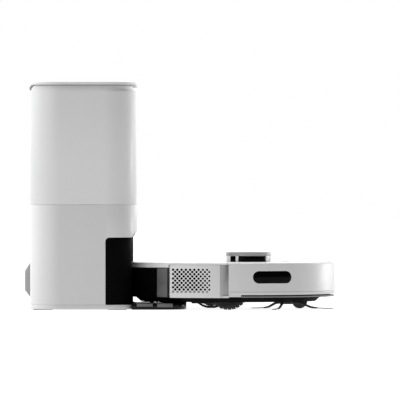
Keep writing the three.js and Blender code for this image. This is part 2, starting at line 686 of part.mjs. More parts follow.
function chassis() {
  const { radius, rim, wall: thickness, bottom, floor, top, flangeTop, flange, flangeFront } = PAN;
  const pan = turned([
    [0, bottom], [radius, bottom], [rim, top], [rim, flangeTop], [rim - thickness, flangeTop],
    [rim - thickness, top], [radius - thickness, floor], [0, floor],
  ]);
  const apron = common(
    ring(rim - thickness, flange, top, flangeTop),
    clearedByBumper(flangeFront, top, flangeTop),
  );
  const wall = common(
    cut(
      clearedByBumper(INNER_WALL.outer, flangeTop - 1, INNER_WALL.top),
      clearedByBumper(INNER_WALL.inner, 0, FAR),
    ),
    ahead(INNER_WALL.start),
  );
  const tankRoom = block(-FAR, BAY_WALL.back + 1, -FAR, FAR, top, FAR);
  const bayWall = block(
    BAY_WALL.back, BAY_WALL.front, -BAY_WALL.halfWidth, BAY_WALL.halfWidth, floor - 1, BAY_WALL.top,
  );
  const hood = block(HOOD.back, HOOD.front, -HOOD.halfWidth, HOOD.halfWidth, floor - 1, HOOD.top);
  const throat = block(
    BAY_WALL.front - 1, HOOD.back + 1, -THROAT.halfWidth, THROAT.halfWidth, THROAT.bottom, THROAT.top,
  );
  const throatBore = block(
    BAY_WALL.back - 1, MAIN_BRUSH.x, -TANK_INLET.halfWidth, TANK_INLET.halfWidth,
    TANK_INLET.bottom, TANK_INLET.top,
  );
  const filterWindow = block(
    BAY_WALL.back - 1, BAY_WALL.front + 1,
    TANK_FILTER.right + FILTER_WINDOW_RIM, TANK_FILTER.left - FILTER_WINDOW_RIM,
    TANK_FILTER.bottom + FILTER_WINDOW_RIM, TANK_FILTER.top - FILTER_WINDOW_RIM,
  );
  const chamber = rodAlongY(
    MAIN_BRUSH.x, MAIN_BRUSH.z, HOOD.chamber, -HOOD.chamberHalf, HOOD.chamberHalf, STEPS.medium,
  );
  const mouth = block(
    MAIN_BRUSH.x - BRUSH_COVER.slot, MAIN_BRUSH.x + BRUSH_COVER.slot,
    -HOOD.chamberHalf, HOOD.chamberHalf, 0, MAIN_BRUSH.z,
  );
  const journals = rodAlongY(
    MAIN_BRUSH.x, MAIN_BRUSH.z, MAIN_BRUSH.journal + RUNNING_GAP,
    -HOOD.halfWidth - 1, HOOD.halfWidth + 1,
  );
  const brushBoss = disc(
    SIDE_BRUSH.x, SIDE_BRUSH.y, SIDE_BRUSH.boss, bottom, SIDE_BRUSH.bossTop,
  );
  const pads = [-1, 1].map((side) => padSolid(side, GAP));
  const frame = cut(
    join(cut(join(pan, apron, wall), tankRoom), bayWall, hood, throat, casterBoss(), brushBoss),
    throatBore, filterWindow, chamber, mouth, journals, casterSocket(), sideBrushSocket(),
    wheelWell(1), wheelWell(-1), ...pads,
  );
  return join(frame, armMount(1), armMount(-1));
}

// A charging pad in the underside; grown by a margin it is the pocket that holds the pad.
function padSolid(side, margin) {
  const y = side * PAD.y;
  return block(
    PAD.x - PAD.halfLength - margin, PAD.x + PAD.halfLength + margin,
    y - PAD.halfWidth - margin, y + PAD.halfWidth + margin,
    PAD.bottom - margin, PAD.top + margin,
  );
}

function topCover() {
  const { radius, deck, deckUnder } = BODY;
  const edge = [
    [0, deckUnder], [radius, deckUnder], [DECK_EDGE.side, DECK_EDGE.sideZ], [DECK_EDGE.top, deck], [0, deck],
  ];
  const rear = common(turned(edge), behind(-BUMPER.seam));
  const front = clearedByBumper(BUMPER.lip - 1, deckUnder, deck);
  const skirt = common(ring(SKIRT.inner, radius, SKIRT.bottom, deckUnder + 1), behind(SKIRT.front));
  const holes = [
    disc(LIDAR.x, 0, LIDAR.opening, 0, FAR),
    disc(BUTTON.x, BUTTON.y, BUTTON.radius + BUTTON.gap, 0, FAR, STEPS.small),
    disc(BUTTON.x, -BUTTON.y, BUTTON.radius + BUTTON.gap, 0, FAR, STEPS.small),
  ];
  return cut(join(rear, front, skirt), ...holes);
}

// One white shell beside the tank, thinned where the bumper closes up to it.
function sideShell(side) {
  const { radius, wall, shellBottom, shellTop } = BODY;
  const inner = radius - wall;
  const arc = ring(inner, radius, shellBottom, shellTop, 0, 0, STEPS.round);
  const start = -BUMPER.seam;
  const bevel = outline([
    [start + 1, radius + 1], [start - SIDE_SHELL.bevel, radius + 1], [start + 1, SIDE_SHELL.thinned],
  ]);
  const sector = common(arc, wedge(90, SIDE_SHELL.end), behind(start));
  const shell = cut(sector, prism(bevel, 0, FAR));
  return side > 0 ? shell : shell.mirror([0, 1, 0]);
}

// A pill-shaped tool that runs out from the robot's axis, for a window and its opening.
function windowTool(spec, margin) {
  const middle = THREE.MathUtils.degToRad(spec.angle);
  const halfLength = BODY.radius * Math.sin(THREE.MathUtils.degToRad(spec.halfSpan)) + margin;
  const halfHeight = (WINDOW.top - WINDOW.bottom) / 2 + margin;
  const tool = new THREE.ExtrudeGeometry(pill(halfLength, halfHeight), {
    depth: BODY.radius, curveSegments: STEPS.corner + 2, bevelEnabled: false,
  });
  tool.translate(0, 0, BODY.radius / 2);
  tool.rotateX(Math.PI / 2);
  tool.rotateZ(Math.PI / 2 + middle);
  tool.translate(0, 0, (WINDOW.top + WINDOW.bottom) / 2);
  return solidOf(tool);
}

const WINDOWS = {
  window_left: SIDE_WINDOW,
  window_right: { ...SIDE_WINDOW, angle: -SIDE_WINDOW.angle },
  window_front: FRONT_WINDOW,
};

function bumper() {
  const { radius, deck } = BODY;
  const { inner, lip, lipBottom, bottom, foot, footTop, sideTop, shoulder, shoulderZ, crown } = BUMPER;
  const profile = [
    [inner, bottom], [foot, bottom], [radius, footTop], [radius, sideTop], [shoulder, shoulderZ],
    [crown, deck], [lip, deck], [lip, lipBottom], [inner, sideTop], [inner, bottom],
  ];
  const half = common(turned(profile, 0, 0, STEPS.round), ahead(0));
  return cut(half, ...Object.values(WINDOWS).map((spec) => windowTool(spec, 0)));
}

function windowLens(spec) {
  const lens = ring(WINDOW.inner, WINDOW.outer, 0, BODY.deck, 0, 0, STEPS.round);
  return common(lens, windowTool(spec, -WINDOW.gap));
}

function lidarCap() {
  const { x, cap, capBottom, capTop, edge, post, postInner, foot } = LIDAR;
  const top = turned([
    [0, capBottom], [cap, capBottom], [cap, capTop - edge], [cap - edge, capTop], [0, capTop],
  ], x);
  const posts = POSTS.map(([from, to]) =>
    common(ring(postInner, post, foot, capBottom + 1, x), wedge(from, to, x)),
  );
  return join(top, ...posts);
}

// A dark ring that runs behind the posts and thickens between them.
function lidarWindowRing() {
  const { x, ringInner, ring: outer, glass, foot, ringTop } = LIDAR;
  const panes = POSTS.map(([, end], i) => {
    const next = POSTS[i + 1] ? POSTS[i + 1][0] : POSTS[0][0] + 360;
    return common(
      ring(ringInner, glass, foot, ringTop, x), wedge(end + POST_GAP, next - POST_GAP, x),
    );
  });
  return join(ring(ringInner, outer, foot, ringTop, x), ...panes);
}

function lidarBase() {
  const { x, cup, cupWall, cupBottom, stem } = LIDAR;
  const body = cut(
    disc(x, 0, cup, cupBottom, BODY.deckUnder - GAP),
    disc(x, 0, cup - cupWall, cupBottom + cupWall, FAR),
  );
  return cut(body, disc(x, 0, stem + RUNNING_GAP, 0, FAR));
}

function lidarHead() {
  const { x, head, headBottom, headTop, stem, stemBottom } = LIDAR;
  const { depth, halfWidth, bottom: eyeBottom, top: eyeTop } = OPTICS;
  const optics = block(x + head - depth, x + head + 1, -halfWidth, halfWidth, eyeBottom, eyeTop);
  return cut(
    join(disc(x, 0, head, headBottom, headTop), disc(x, 0, stem, stemBottom, headBottom + 1)),
    optics,
  );
}

function pushButton(side) {
  const { x, radius, top, bottom, stem, stemBottom, edge } = BUTTON;
  const profile = [
    [0, stemBottom], [stem, stemBottom], [stem, bottom], [radius, bottom], [radius, top - edge],
    [radius - edge, top], [0, top],
  ];
  return turned(profile, x, side * BUTTON.y, STEPS.small);
}

function dustTank() {
  const { front, radius, bottom, top, wall } = TANK;
  const outer = common(disc(0, 0, radius, bottom, top, STEPS.round), behind(front));
  const inside = common(
    disc(0, 0, radius - wall, bottom + wall, top - wall, STEPS.large),
    behind(front - wall),
  );
  const inlet = block(
    front - wall - 1, 0, -TANK_INLET.halfWidth, TANK_INLET.halfWidth, TANK_INLET.bottom, TANK_INLET.top,
  );
  const filterSeat = block(
    front - TANK_FILTER.depth, 0, TANK_FILTER.right - GAP, TANK_FILTER.left + GAP,
    TANK_FILTER.bottom - GAP, TANK_FILTER.top + GAP,
  );
  return cut(outer, inside, inlet, filterSeat);
}

const tankFilter = () =>
  pleatedFilter(
    TANK.front - TANK_FILTER.depth, TANK.front - GAP, TANK_FILTER.right, TANK_FILTER.left,
    TANK_FILTER.bottom, TANK_FILTER.top, TANK_FILTER.pleats,
  );

// A wheel arm: a bar from its pivot to the axle stub that the wheel turns on.
function wheelArm(side) {
  const bar = new THREE.Shape();
  const lean = Math.atan2(ARM.z - WHEEL.z, ARM.x);
  const quarter = Math.PI / 2;
  bar.absarc(ARM.x, ARM.z, ARM.boss, lean - quarter, lean + quarter);
  bar.absarc(0, WHEEL.z, ARM.boss, lean + quarter, lean + 3 * quarter);
  bar.closePath();
  const plate = sidePrism(bar, ARM.inner, ARM.outer);
  const axle = rodAlongY(0, WHEEL.z, WHEEL.axle, ARM.outer - 1, WHEEL.y + WHEEL.width - 1);
  const bore = rodAlongY(ARM.x, ARM.z, ARM.pin + RUNNING_GAP, ARM.inner - 1, ARM.outer + 1);
  const arm = cut(join(plate, axle), bore);
  return side > 0 ? arm : arm.mirror([0, 1, 0]);
}

function wheelHub(side) {
  const y0 = WHEEL.y + HUB.inset;
  const y1 = WHEEL.y + WHEEL.width - HUB.inset;
  const rim = rodAlongY(0, WHEEL.z, WHEEL.hub, y0, y1, STEPS.medium);
  const dish = rodAlongY(0, WHEEL.z, WHEEL.hub - HUB.rim, y1 - HUB.dish, y1 + 1, STEPS.medium);
  const nave = rodAlongY(0, WHEEL.z, HUB.nave, y1 - HUB.naveDepth, y1);
  const bore = rodAlongY(0, WHEEL.z, WHEEL.axle + RUNNING_GAP, y0 - 1, y1 + 1);
  const hub = cut(join(cut(rim, dish), nave), bore);
  return side > 0 ? hub : hub.mirror([0, 1, 0]);
}

function tyre(side) {
  const y0 = WHEEL.y;
  const y1 = WHEEL.y + WHEEL.width;
  const band = cut(
    rodAlongY(0, WHEEL.z, WHEEL.radius, y0, y1, STEPS.medium),
    rodAlongY(0, WHEEL.z, WHEEL.hub + GAP, y0 - 1, y1 + 1, STEPS.medium),
  );
  return side > 0 ? band : band.mirror([0, 1, 0]);
}

function casterFork() {
  const { pivot, trail, radius, axle, fork, forkBottom, forkTop, slotTop, slotHalf } = CASTER;
  const { lug, lugHalf, lugBottom, stem, stemTop } = CASTER;
  const axleX = pivot + trail;
  const head = disc(pivot, 0, fork, forkBottom, forkTop);
  const slot = block(
    axleX - radius - 1, axleX + radius + CASTER.slotEnd, -slotHalf, slotHalf, 0, slotTop,
  );
  const lugs = [[-lug, -slotHalf], [slotHalf, lug]].map(([y0, y1]) =>
    block(axleX - lugHalf, axleX + lugHalf, y0, y1, lugBottom, forkBottom + 1),
  );
  return join(
    cut(head, slot), ...lugs,
    disc(pivot, 0, stem, forkTop - 1, stemTop, STEPS.small),
    rodAlongY(axleX, radius, axle, -slotHalf - 1, slotHalf + 1),
  );
}

function casterWheel() {
  const x = CASTER.pivot + CASTER.trail;
  const half = CASTER.width / 2;
  return cut(
    rodAlongY(x, CASTER.radius, CASTER.radius, -half, half, STEPS.medium),
    rodAlongY(x, CASTER.radius, CASTER.axle + RUNNING_GAP, -half - 1, half + 1),
  );
}

// The side brush: a hub on a shaft, with three drooping arms.
function sideBrush() {
  const { x, y, hub, bottom, top, stem, stemTop } = SIDE_BRUSH;
  const parts = [
    disc(0, 0, hub, bottom, top),
    disc(0, 0, stem, top - 1, stemTop, STEPS.small),
  ];
  for (let i = 0; i < BRUSH_ARMS.count; i++) {
    const arm = sidePrism(outline(ARM_OUTLINE), -BRUSH_ARMS.halfWidth, BRUSH_ARMS.halfWidth);
    parts.push(arm.rotate([0, 0, BRUSH_ARMS.first + (i * 360) / BRUSH_ARMS.count]));
  }
  return join(...parts).translate(x, y, 0);
}

// The main brush: a core with bristle fins and a journal at each end.
function mainBrush() {
  const { x, z, radius, core, halfLength, fins, fin, journal } = MAIN_BRUSH;
  const parts = [
    rodAlongY(0, 0, core, -halfLength, halfLength),
    rodAlongY(0, 0, journal, -HOOD.halfWidth, HOOD.halfWidth),
  ];
  for (let i = 0; i < fins; i++) {
    const row = new THREE.BoxGeometry(radius - core + 1, 2 * halfLength, fin);
    row.translate((radius + core - 1) / 2, 0, 0);
    row.rotateY((i * 2 * Math.PI) / fins);
    parts.push(solidOf(row));
  }
  return join(...parts).translate(x, 0, z);
}

// The plate round the main brush's mouth, with the guard ribs that cross it under the brush.
function mainBrushCover() {
  const { back, front, bottom, top, slot, halfWidth, corner, edge } = BRUSH_COVER;
  const plan = roundedRectangle(back, front, -halfWidth, halfWidth, corner);
  const mouth = block(
    MAIN_BRUSH.x - slot, MAIN_BRUSH.x + slot, -HOOD.chamberHalf, HOOD.chamberHalf, 0, FAR,
  );
  const guards = GUARD.y.map((y) => {
    const rib = new THREE.ExtrudeGeometry(outline(GUARD.profile), { depth: GUARD.width, bevelEnabled: false });
    rib.rotateX(Math.PI / 2);
    rib.translate(MAIN_BRUSH.x, y + GUARD.width / 2, 0);
    return solidOf(rib);
  });
  return join(cut(prism(plan, bottom, top, edge), mouth), ...guards);
}

function battery() {
  const { back, front, halfWidth, bottom, top, corner, edge } = BATTERY;
  return prism(roundedRectangle(back, front, -halfWidth, halfWidth, corner), bottom, top, edge);
}

// The main board, with its chips and the two switches under the buttons.
function mainBoard() {
  const { back, front, halfWidth, bottom, thickness } = BOARD;
  const plate = block(back, front, -halfWidth, halfWidth, bottom, bottom + thickness);
  const chips = CHIPS.map(([x0, x1, y0, y1, top]) => block(x0, x1, y0, y1, bottom, top));
  const switches = [-1, 1].map((side) => {
    const y = side * BUTTON.y;
    return block(
      BUTTON.x - SWITCH.half, BUTTON.x + SWITCH.half, y - SWITCH.half, y + SWITCH.half, bottom, SWITCH.top,
    );
  });
  return join(plate, ...chips, ...switches);
}

function suctionFan() {
  const { x, y, radius, bottom, top, edge, eye, eyeDepth } = FAN;
  const housing = turned([
    [0, bottom], [radius, bottom], [radius, top - edge], [radius - edge, top], [0, top],
  ], x, y, STEPS.medium);
  return cut(housing, disc(x, y, eye, top - eyeDepth, top + 1, STEPS.small));
}

function robot() {
  const group = new THREE.Group();
  group.position.x = ROBOT_X;
  add(group, "chassis", chassis(), black());
  add(group, "top_cover", topCover(), white());
  add(group, "bumper", bumper(), white());
  for (const [name, spec] of Object.entries(WINDOWS)) add(group, name, windowLens(spec), glossBlack());
  add(group, "lidar_base", lidarBase(), black());
  add(group, "lidar_head", lidarHead(), black());
  add(group, "lidar_window_ring", lidarWindowRing(), glossBlack());
  add(group, "lidar_cap", lidarCap(), grey());
  add(group, "power_button", pushButton(1), white());
  add(group, "home_button", pushButton(-1), white());
  add(group, "dust_tank", dustTank(), glossBlack());
  add(group, "tank_filter", tankFilter(), paper());
  for (const [name, side] of [["left", 1], ["right", -1]]) {
    add(group, `side_shell_${name}`, sideShell(side), white());
    add(group, `wheel_arm_${name}`, wheelArm(side), black());
    add(group, `wheel_hub_${name}`, wheelHub(side), grey());
    add(group, `tyre_${name}`, tyre(side), rubber());
    add(group, `charge_pad_${name}`, padSolid(side, 0), brass());
  }
  add(group, "caster_fork", casterFork(), black());
  add(group, "caster_wheel", casterWheel(), rubber());
  add(group, "side_brush", sideBrush(), black());
  add(group, "main_brush", mainBrush(), rubber());
  add(group, "main_brush_cover", mainBrushCover(), black());
  add(group, "battery", battery(), grey());
  add(group, "main_board", mainBoard(), board());
  add(group, "suction_fan", suctionFan(), black());
  return group;
}

const model = new THREE.Group();
model.add(dock(), robot());

export default model;
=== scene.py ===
import math
import random

import bmesh
import bpy
from mathutils import Matrix, Vector


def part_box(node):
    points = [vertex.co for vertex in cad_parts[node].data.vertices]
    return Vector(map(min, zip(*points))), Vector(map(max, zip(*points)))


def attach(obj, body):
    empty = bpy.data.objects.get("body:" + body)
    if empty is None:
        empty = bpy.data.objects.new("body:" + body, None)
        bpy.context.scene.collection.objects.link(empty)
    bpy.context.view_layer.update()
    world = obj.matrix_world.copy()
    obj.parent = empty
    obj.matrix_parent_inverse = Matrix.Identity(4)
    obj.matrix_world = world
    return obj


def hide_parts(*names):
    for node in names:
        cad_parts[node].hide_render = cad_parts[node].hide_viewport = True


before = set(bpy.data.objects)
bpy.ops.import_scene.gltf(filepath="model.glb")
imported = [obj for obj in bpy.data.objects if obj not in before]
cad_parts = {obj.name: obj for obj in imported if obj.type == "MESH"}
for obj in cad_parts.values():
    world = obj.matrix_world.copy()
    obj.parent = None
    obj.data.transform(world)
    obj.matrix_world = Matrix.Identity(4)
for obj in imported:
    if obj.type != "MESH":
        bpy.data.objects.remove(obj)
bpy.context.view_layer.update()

MM = 0.001

# ------------------------------------------------------------------ places, from the CAD nodes' boxes


def box_mm(node):
    """The lowest and the highest corner of a CAD node's box, in millimetres."""
    low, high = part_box(node)
    return low / MM, high / MM


TYRE_LOW, TYRE_HIGH = box_mm("tyre_left")
BUMPER_LOW, BUMPER_HIGH = box_mm("bumper")
SHELL_LOW, SHELL_HIGH = box_mm("side_shell_right")
TANK_LOW, TANK_HIGH = box_mm("dust_tank")
LOWER_LOW, LOWER_HIGH = box_mm("lower_shell")
UPPER_LOW, UPPER_HIGH = box_mm("upper_shell")
LID_LOW, LID_HIGH = box_mm("lid")
BAY_LOW, BAY_HIGH = box_mm("bay_insert")
RAMP_SIDE = box_mm("docking_ramp")[1].y
BRUSH_LOW, BRUSH_HIGH = box_mm("main_brush")
CAP_LOW, CAP_HIGH = box_mm("lidar_cap")

ROBOT_X = (TYRE_LOW.x + TYRE_HIGH.x) / 2  # the robot's own vertical axis
RADIUS = BUMPER_HIGH.y
DECK = BUMPER_HIGH.z  # height of the robot's top cover
SEAM = ROBOT_X - SHELL_HIGH.x  # how far behind that axis the side shell meets the bumper
REAR_SEAM = 122.8  # degrees from straight ahead where the side shell ends at the back
CORNER = 50  # the tower's corner radius, as in the CAD model
COVE_INSET = 4.5  # how far the sides are set back under the lid
FINGER_STEP = 5.2  # how far the front is set back under the lid
WALL = 3
GAP = 0.3  # clearance round what sits in an opening
BEYOND = 200  # far enough for a cut to pass the whole object
LID_BOTTOM = UPPER_HIGH.z + GAP
STUDIO_BRIGHT = 1.68  # strength of the light from most directions
STUDIO_DIM = 0.06  # and from the dark corner, which shades the robot's front


# ------------------------------------------------------------------ mesh building, in mm


class Shape:
    """Vertices and faces gathered in millimetres and turned into one piece at the end."""

    def __init__(self):
        self.vertices = []
        self.faces = []

    def add(self, vertices, faces):
        start = len(self.vertices)
        self.vertices += [tuple(v) for v in vertices]
        self.faces += [tuple(start + i for i in face) for face in faces]
        return self

    def loft(self, rings, closed=False, caps=True, wrap=True):
        """Skins rings of equal length. closed joins the last ring to the first; wrap closes each ring."""
        count = len(rings[0])
        vertices = [p for ring in rings for p in ring]
        faces = []
        spans = len(rings) if closed else len(rings) - 1
        around = count if wrap else count - 1
        for i in range(spans):
            j = (i + 1) % len(rings)
            for k in range(around):
                m = (k + 1) % count
                faces.append((i * count + k, i * count + m, j * count + m, j * count + k))
        if caps and not closed:
            faces.append(tuple(reversed(range(count))))
            last = (len(rings) - 1) * count
            faces.append(tuple(last + k for k in range(count)))
        return self.add(vertices, faces)

    def block(self, low, high):
        (x0, y0, z0), (x1, y1, z1) = low, high
        bottom = [(x0, y0, z0), (x1, y0, z0), (x1, y1, z0), (x0, y1, z0)]
        top = [(x, y, z1) for x, y, _ in bottom]
        return self.loft([bottom, top])

    def mirrored(self, side):
        """The shape as it is for side 1, or flipped to the robot's right for side -1."""
        self.vertices = [(x, side * y, z) for x, y, z in self.vertices]
        return self

    def tube(self, points, radii, sides=10):
        """A round tube through points, with a radius at each."""
        rings = []
        up = Vector((0, 0, 1))
        for i, point in enumerate(points):
            ahead = points[min(i + 1, len(points) - 1)]
            back = points[max(i - 1, 0)]
            along = (Vector(ahead) - Vector(back)).normalized()
            side = along.cross(up)
            if side.length < 1e-3:
                side = along.cross(Vector((1, 0, 0)))
            side.normalize()
            over = side.cross(along).normalized()
            turns = [2 * math.pi * k / sides for k in range(sides)]
            centre = Vector(point)
            rings.append(
                [centre + radii[i] * (math.cos(t) * side + math.sin(t) * over) for t in turns]
            )
        return self.loft(rings)

    def solid(self, name):
        """The shape as an object in the scene, not yet painted or mounted."""
        mesh = bpy.data.meshes.new(name)
        mesh.from_pydata([tuple(c * MM for c in v) for v in self.vertices], [], self.faces)
        obj = bpy.data.objects.new(name, mesh)
        bpy.context.scene.collection.objects.link(obj)
        tidy(obj)
        return obj

    def piece(self, name, material, body, slot, replaces=(), bevel=0.0, angle=35):
        """The shape as a finished object that rides on a body."""
        obj = self.solid(name)
        if bevel:
            add_bevel(obj, bevel, angle)
        return dress(obj, material, body, replaces, angle)


def tidy(obj):
    """Merges doubled points and turns the faces outwards."""
    work = bmesh.new()
    work.from_mesh(obj.data)
    bmesh.ops.remove_doubles(work, verts=work.verts, dist=1e-6)
    bmesh.ops.recalc_face_normals(work, faces=work.faces)
    work.to_mesh(obj.data)
    work.free()


def add_bevel(obj, width, angle=35, segments=2):
    """Rounds the edges sharper than an angle."""
    bevel = obj.modifiers.new("bevel", "BEVEL")
    bevel.width = width * MM
    bevel.segments = segments
    bevel.limit_method = "ANGLE"
    bevel.angle_limit = math.radians(angle)
    bevel.use_clamp_overlap = True
    bevel.miter_outer = "MITER_ARC"


def settle(obj):
    """Replaces the mesh by what its modifiers make of it."""
    graph = bpy.context.evaluated_depsgraph_get()
    mesh = bpy.data.meshes.new_from_object(obj.evaluated_get(graph))
    obj.modifiers.clear()
    obj.data = mesh


def carve(obj, *shapes):
    """Cuts the shapes out of obj."""
    cutters = [shape.solid("cutter") for shape in shapes]
    for cutter in cutters:
        modifier = obj.modifiers.new("cut", "BOOLEAN")
        modifier.operation = "DIFFERENCE"
        modifier.solver = "EXACT"
        modifier.object = cutter
    bpy.context.view_layer.update()
    settle(obj)
    for cutter in cutters:
        bpy.data.objects.remove(cutter)


def dress(obj, material, body, replaces=(), angle=35):
    """Applies the modifiers, shades, paints and mounts a new piece."""
    bpy.context.view_layer.update()
    settle(obj)
    obj.data.polygons.foreach_set("use_smooth", [True] * len(obj.data.polygons))
    obj.data.set_sharp_from_angle(angle=math.radians(angle))
    obj.data.materials.clear()
    obj.data.materials.append(material)
    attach(obj, body)
    if replaces:
        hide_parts(*replaces)
    return obj


def rounded_outline(x0, x1, y0, y1, radius, steps=16):
    """A rectangle with rounded corners, anticlockwise, as x, y pairs."""
    corners = [(x1 - radius, y0 + radius, -90), (x1 - radius, y1 - radius, 0),
               (x0 + radius, y1 - radius, 90), (x0 + radius, y0 + radius, 180)]
    points = []
    for cx, cy, start in corners:
        for i in range(steps + 1):
            t = math.radians(start + 90 * i / steps)
            points.append((cx + radius * math.cos(t), cy + radius * math.sin(t)))
    return points


def tower_ring(inset, z, front_inset=None):
    """The tower's outline at a height, drawn in all round, or by another measure at the front."""
    front = inset if front_inset is None else front_inset
    outline = rounded_outline(
        UPPER_LOW.x + inset, UPPER_HIGH.x - front, UPPER_LOW.y + inset, UPPER_HIGH.y - inset,
        CORNER - inset,
    )
    return [(x, y, z) for x, y in outline]


def circle(radius, z, x=0.0, y=0.0, steps=96):
    """A level ring of points about a vertical axis."""
    turns = [2 * math.pi * k / steps for k in range(steps)]
    return [(x + radius * math.cos(t), y + radius * math.sin(t), z) for t in turns]


def lathe(profile, x=0.0, y=0.0, steps=96):
    """A shape turned about a vertical axis from a profile of radius and height, bottom to top."""
    return Shape().loft([circle(r, z, x, y, steps) for r, z in profile])


def sweep(profile, start, end, steps, trim=None):
    """A profile of radius and height carried round the robot's axis, from start to end degrees.

    trim tells how much to take off the radius at an angle and a height.
    """
    rings = []
    for i in range(steps + 1):
        t = math.radians(start + (end - start) * i / steps)
        ring = []
        for r, z in profile:
            reach = r - trim(t, z) if trim else r
            ring.append((ROBOT_X + reach * math.cos(t), reach * math.sin(t), z))
        rings.append(ring)
    return Shape().loft(rings)


def x_cylinder(y, z, radius, x0, x1, sides=48):
    """A cylinder along X from x0 to x1."""
    turns = [2 * math.pi * k / sides for k in range(sides)]
    ring = [(y + radius * math.cos(t), z + radius * math.sin(t)) for t in turns]
    return Shape().loft([[(x, py, pz) for py, pz in ring] for x in (x0, x1)])


def y_cylinder(shape, x, z, radius, y0, y1, sides=16):
    """Adds a cylinder along Y, from y0 to y1, to a shape."""
    turns = [2 * math.pi * k / sides for k in range(sides)]
    ring = [(x + radius * math.cos(t), z + radius * math.sin(t)) for t in turns]
    return shape.loft([[(px, y0, pz) for px, pz in ring], [(px, y1, pz) for px, pz in ring]])


# ------------------------------------------------------------------ materials


class Nodes:
    """A small helper that adds and links shader nodes."""

    def __init__(self, material):
        material.use_nodes = True
        self.tree = material.node_tree
        self.shader = self.tree.nodes["Principled BSDF"]
        self.place = self.tree.nodes.new("ShaderNodeTexCoord")

    def new(self, kind, **values):
        """Adds a node and sets its inputs, or its properties, by name."""
        node = self.tree.nodes.new(kind)
        for key, value in values.items():
            if key in node.inputs:
                node.inputs[key].default_value = value
            else:
                setattr(node, key, value)
        return node

    def link(self, out, to):
        self.tree.links.new(out, to)

    def noise(self, scale, detail=3.0, stretch=None):
        """A noise texture fixed to the object."""
        noise = self.new("ShaderNodeTexNoise", Scale=scale, Detail=detail)
        if stretch:
            mapping = self.new("ShaderNodeMapping")
            mapping.inputs["Scale"].default_value = stretch
            self.link(self.place.outputs["Object"], mapping.inputs["Vector"])
            self.link(mapping.outputs["Vector"], noise.inputs["Vector"])
        else:
            self.link(self.place.outputs["Object"], noise.inputs["Vector"])
        return noise

    def colours(self, factor, low, high):
        """Turns a texture's middle values into a run from one colour to another."""
        ramp = self.new("ShaderNodeValToRGB")
        first, last = ramp.color_ramp.elements
        first.position = 0.35
        first.color = (*low, 1)
        last.position = 0.65
        last.color = (*high, 1)
        self.link(factor, ramp.inputs["Fac"])
        return ramp.outputs["Color"]

    def spread(self, factor, low, high):
        """Turns a texture's middle values into numbers from low to high."""
        span = self.new("ShaderNodeMapRange")
        span.inputs["From Min"].default_value = 0.3
        span.inputs["From Max"].default_value = 0.7
        span.inputs["To Min"].default_value = low
        span.inputs["To Max"].default_value = high
        self.link(factor, span.inputs["Value"])
        return span.outputs["Result"]

    def bump(self, height, strength, distance):
        """Raises the surface by a texture, up to a distance in metres."""
        bump = self.new("ShaderNodeBump", Strength=strength, Distance=distance)
        self.link(height, bump.inputs["Height"])
        self.link(bump.outputs["Normal"], self.shader.inputs["Normal"])


def shade(colour, share):
    """A colour made darker or lighter by a share."""
    return tuple(min(1.0, c * share) for c in colour)


def moulded(name, colour, roughness, grain=2200.0, depth=0.00001, vary=0.03, metal=0.0, gleam=0.5):
    """Moulded plastic or plain metal: faint colour drift, uneven gloss and a fine grain."""
    material = bpy.data.materials.new(name)
    nodes = Nodes(material)
    drift = nodes.noise(14.0)
    nodes.link(
        nodes.colours(drift.outputs["Fac"], shade(colour, 1 - vary), shade(colour, 1 + vary)),
        nodes.shader.inputs["Base Color"],
    )
    smear = nodes.noise(55.0, 5.0)
    nodes.link(
        nodes.spread(smear.outputs["Fac"], roughness * 0.85, roughness * 1.15),
        nodes.shader.inputs["Roughness"],
    )
    fine = nodes.noise(grain, 2.0)
    nodes.bump(fine.outputs["Fac"], 0.25, depth)
    nodes.shader.inputs["Metallic"].default_value = metal
    nodes.shader.inputs["Specular IOR Level"].default_value = gleam
    return material


def fibrous(name, colour, scale=900.0):
    """Non-woven cloth or filter paper: matted fibres, pressed spots and no gloss."""
    material = bpy.data.materials.new(name)
    nodes = Nodes(material)
    fibres = nodes.noise(scale, 6.0, stretch=(1.0, 0.35, 1.0))
    nodes.link(
        nodes.colours(fibres.outputs["Fac"], shade(colour, 0.82), shade(colour, 1.06)),
        nodes.shader.inputs["Base Color"],
    )
    nodes.link(
        nodes.spread(fibres.outputs["Fac"], 0.85, 0.98), nodes.shader.inputs["Roughness"]
    )
    spots = nodes.new("ShaderNodeTexVoronoi", Scale=420.0)
    nodes.link(nodes.place.outputs["Object"], spots.inputs["Vector"])
    mix = nodes.new("ShaderNodeMath", operation="ADD")
    nodes.link(spots.outputs["Distance"], mix.inputs[0])
    nodes.link(fibres.outputs["Fac"], mix.inputs[1])
    nodes.bump(mix.outputs["Value"], 0.5, 0.0004)
    nodes.shader.inputs["Sheen Weight"].default_value = 0.2
    return material


def board_material(name):
    """A circuit board: solder mask with copper tracks showing through."""
    material = bpy.data.materials.new(name)
    nodes = Nodes(material)
    tracks = nodes.new("ShaderNodeTexBrick", Scale=160.0)
    tracks.inputs["Color1"].default_value = (0.012, 0.11, 0.04, 1)
    tracks.inputs["Color2"].default_value = (0.016, 0.15, 0.055, 1)
    tracks.inputs["Mortar"].default_value = (0.03, 0.24, 0.09, 1)
    tracks.inputs["Mortar Size"].default_value = 0.012
    nodes.link(nodes.place.outputs["Object"], tracks.inputs["Vector"])
    nodes.link(tracks.outputs["Color"], nodes.shader.inputs["Base Color"])
    gloss = nodes.noise(300.0)
    nodes.link(nodes.spread(gloss.outputs["Fac"], 0.3, 0.5), nodes.shader.inputs["Roughness"])
    nodes.bump(tracks.outputs["Fac"], 0.3, 0.0002)
    return material


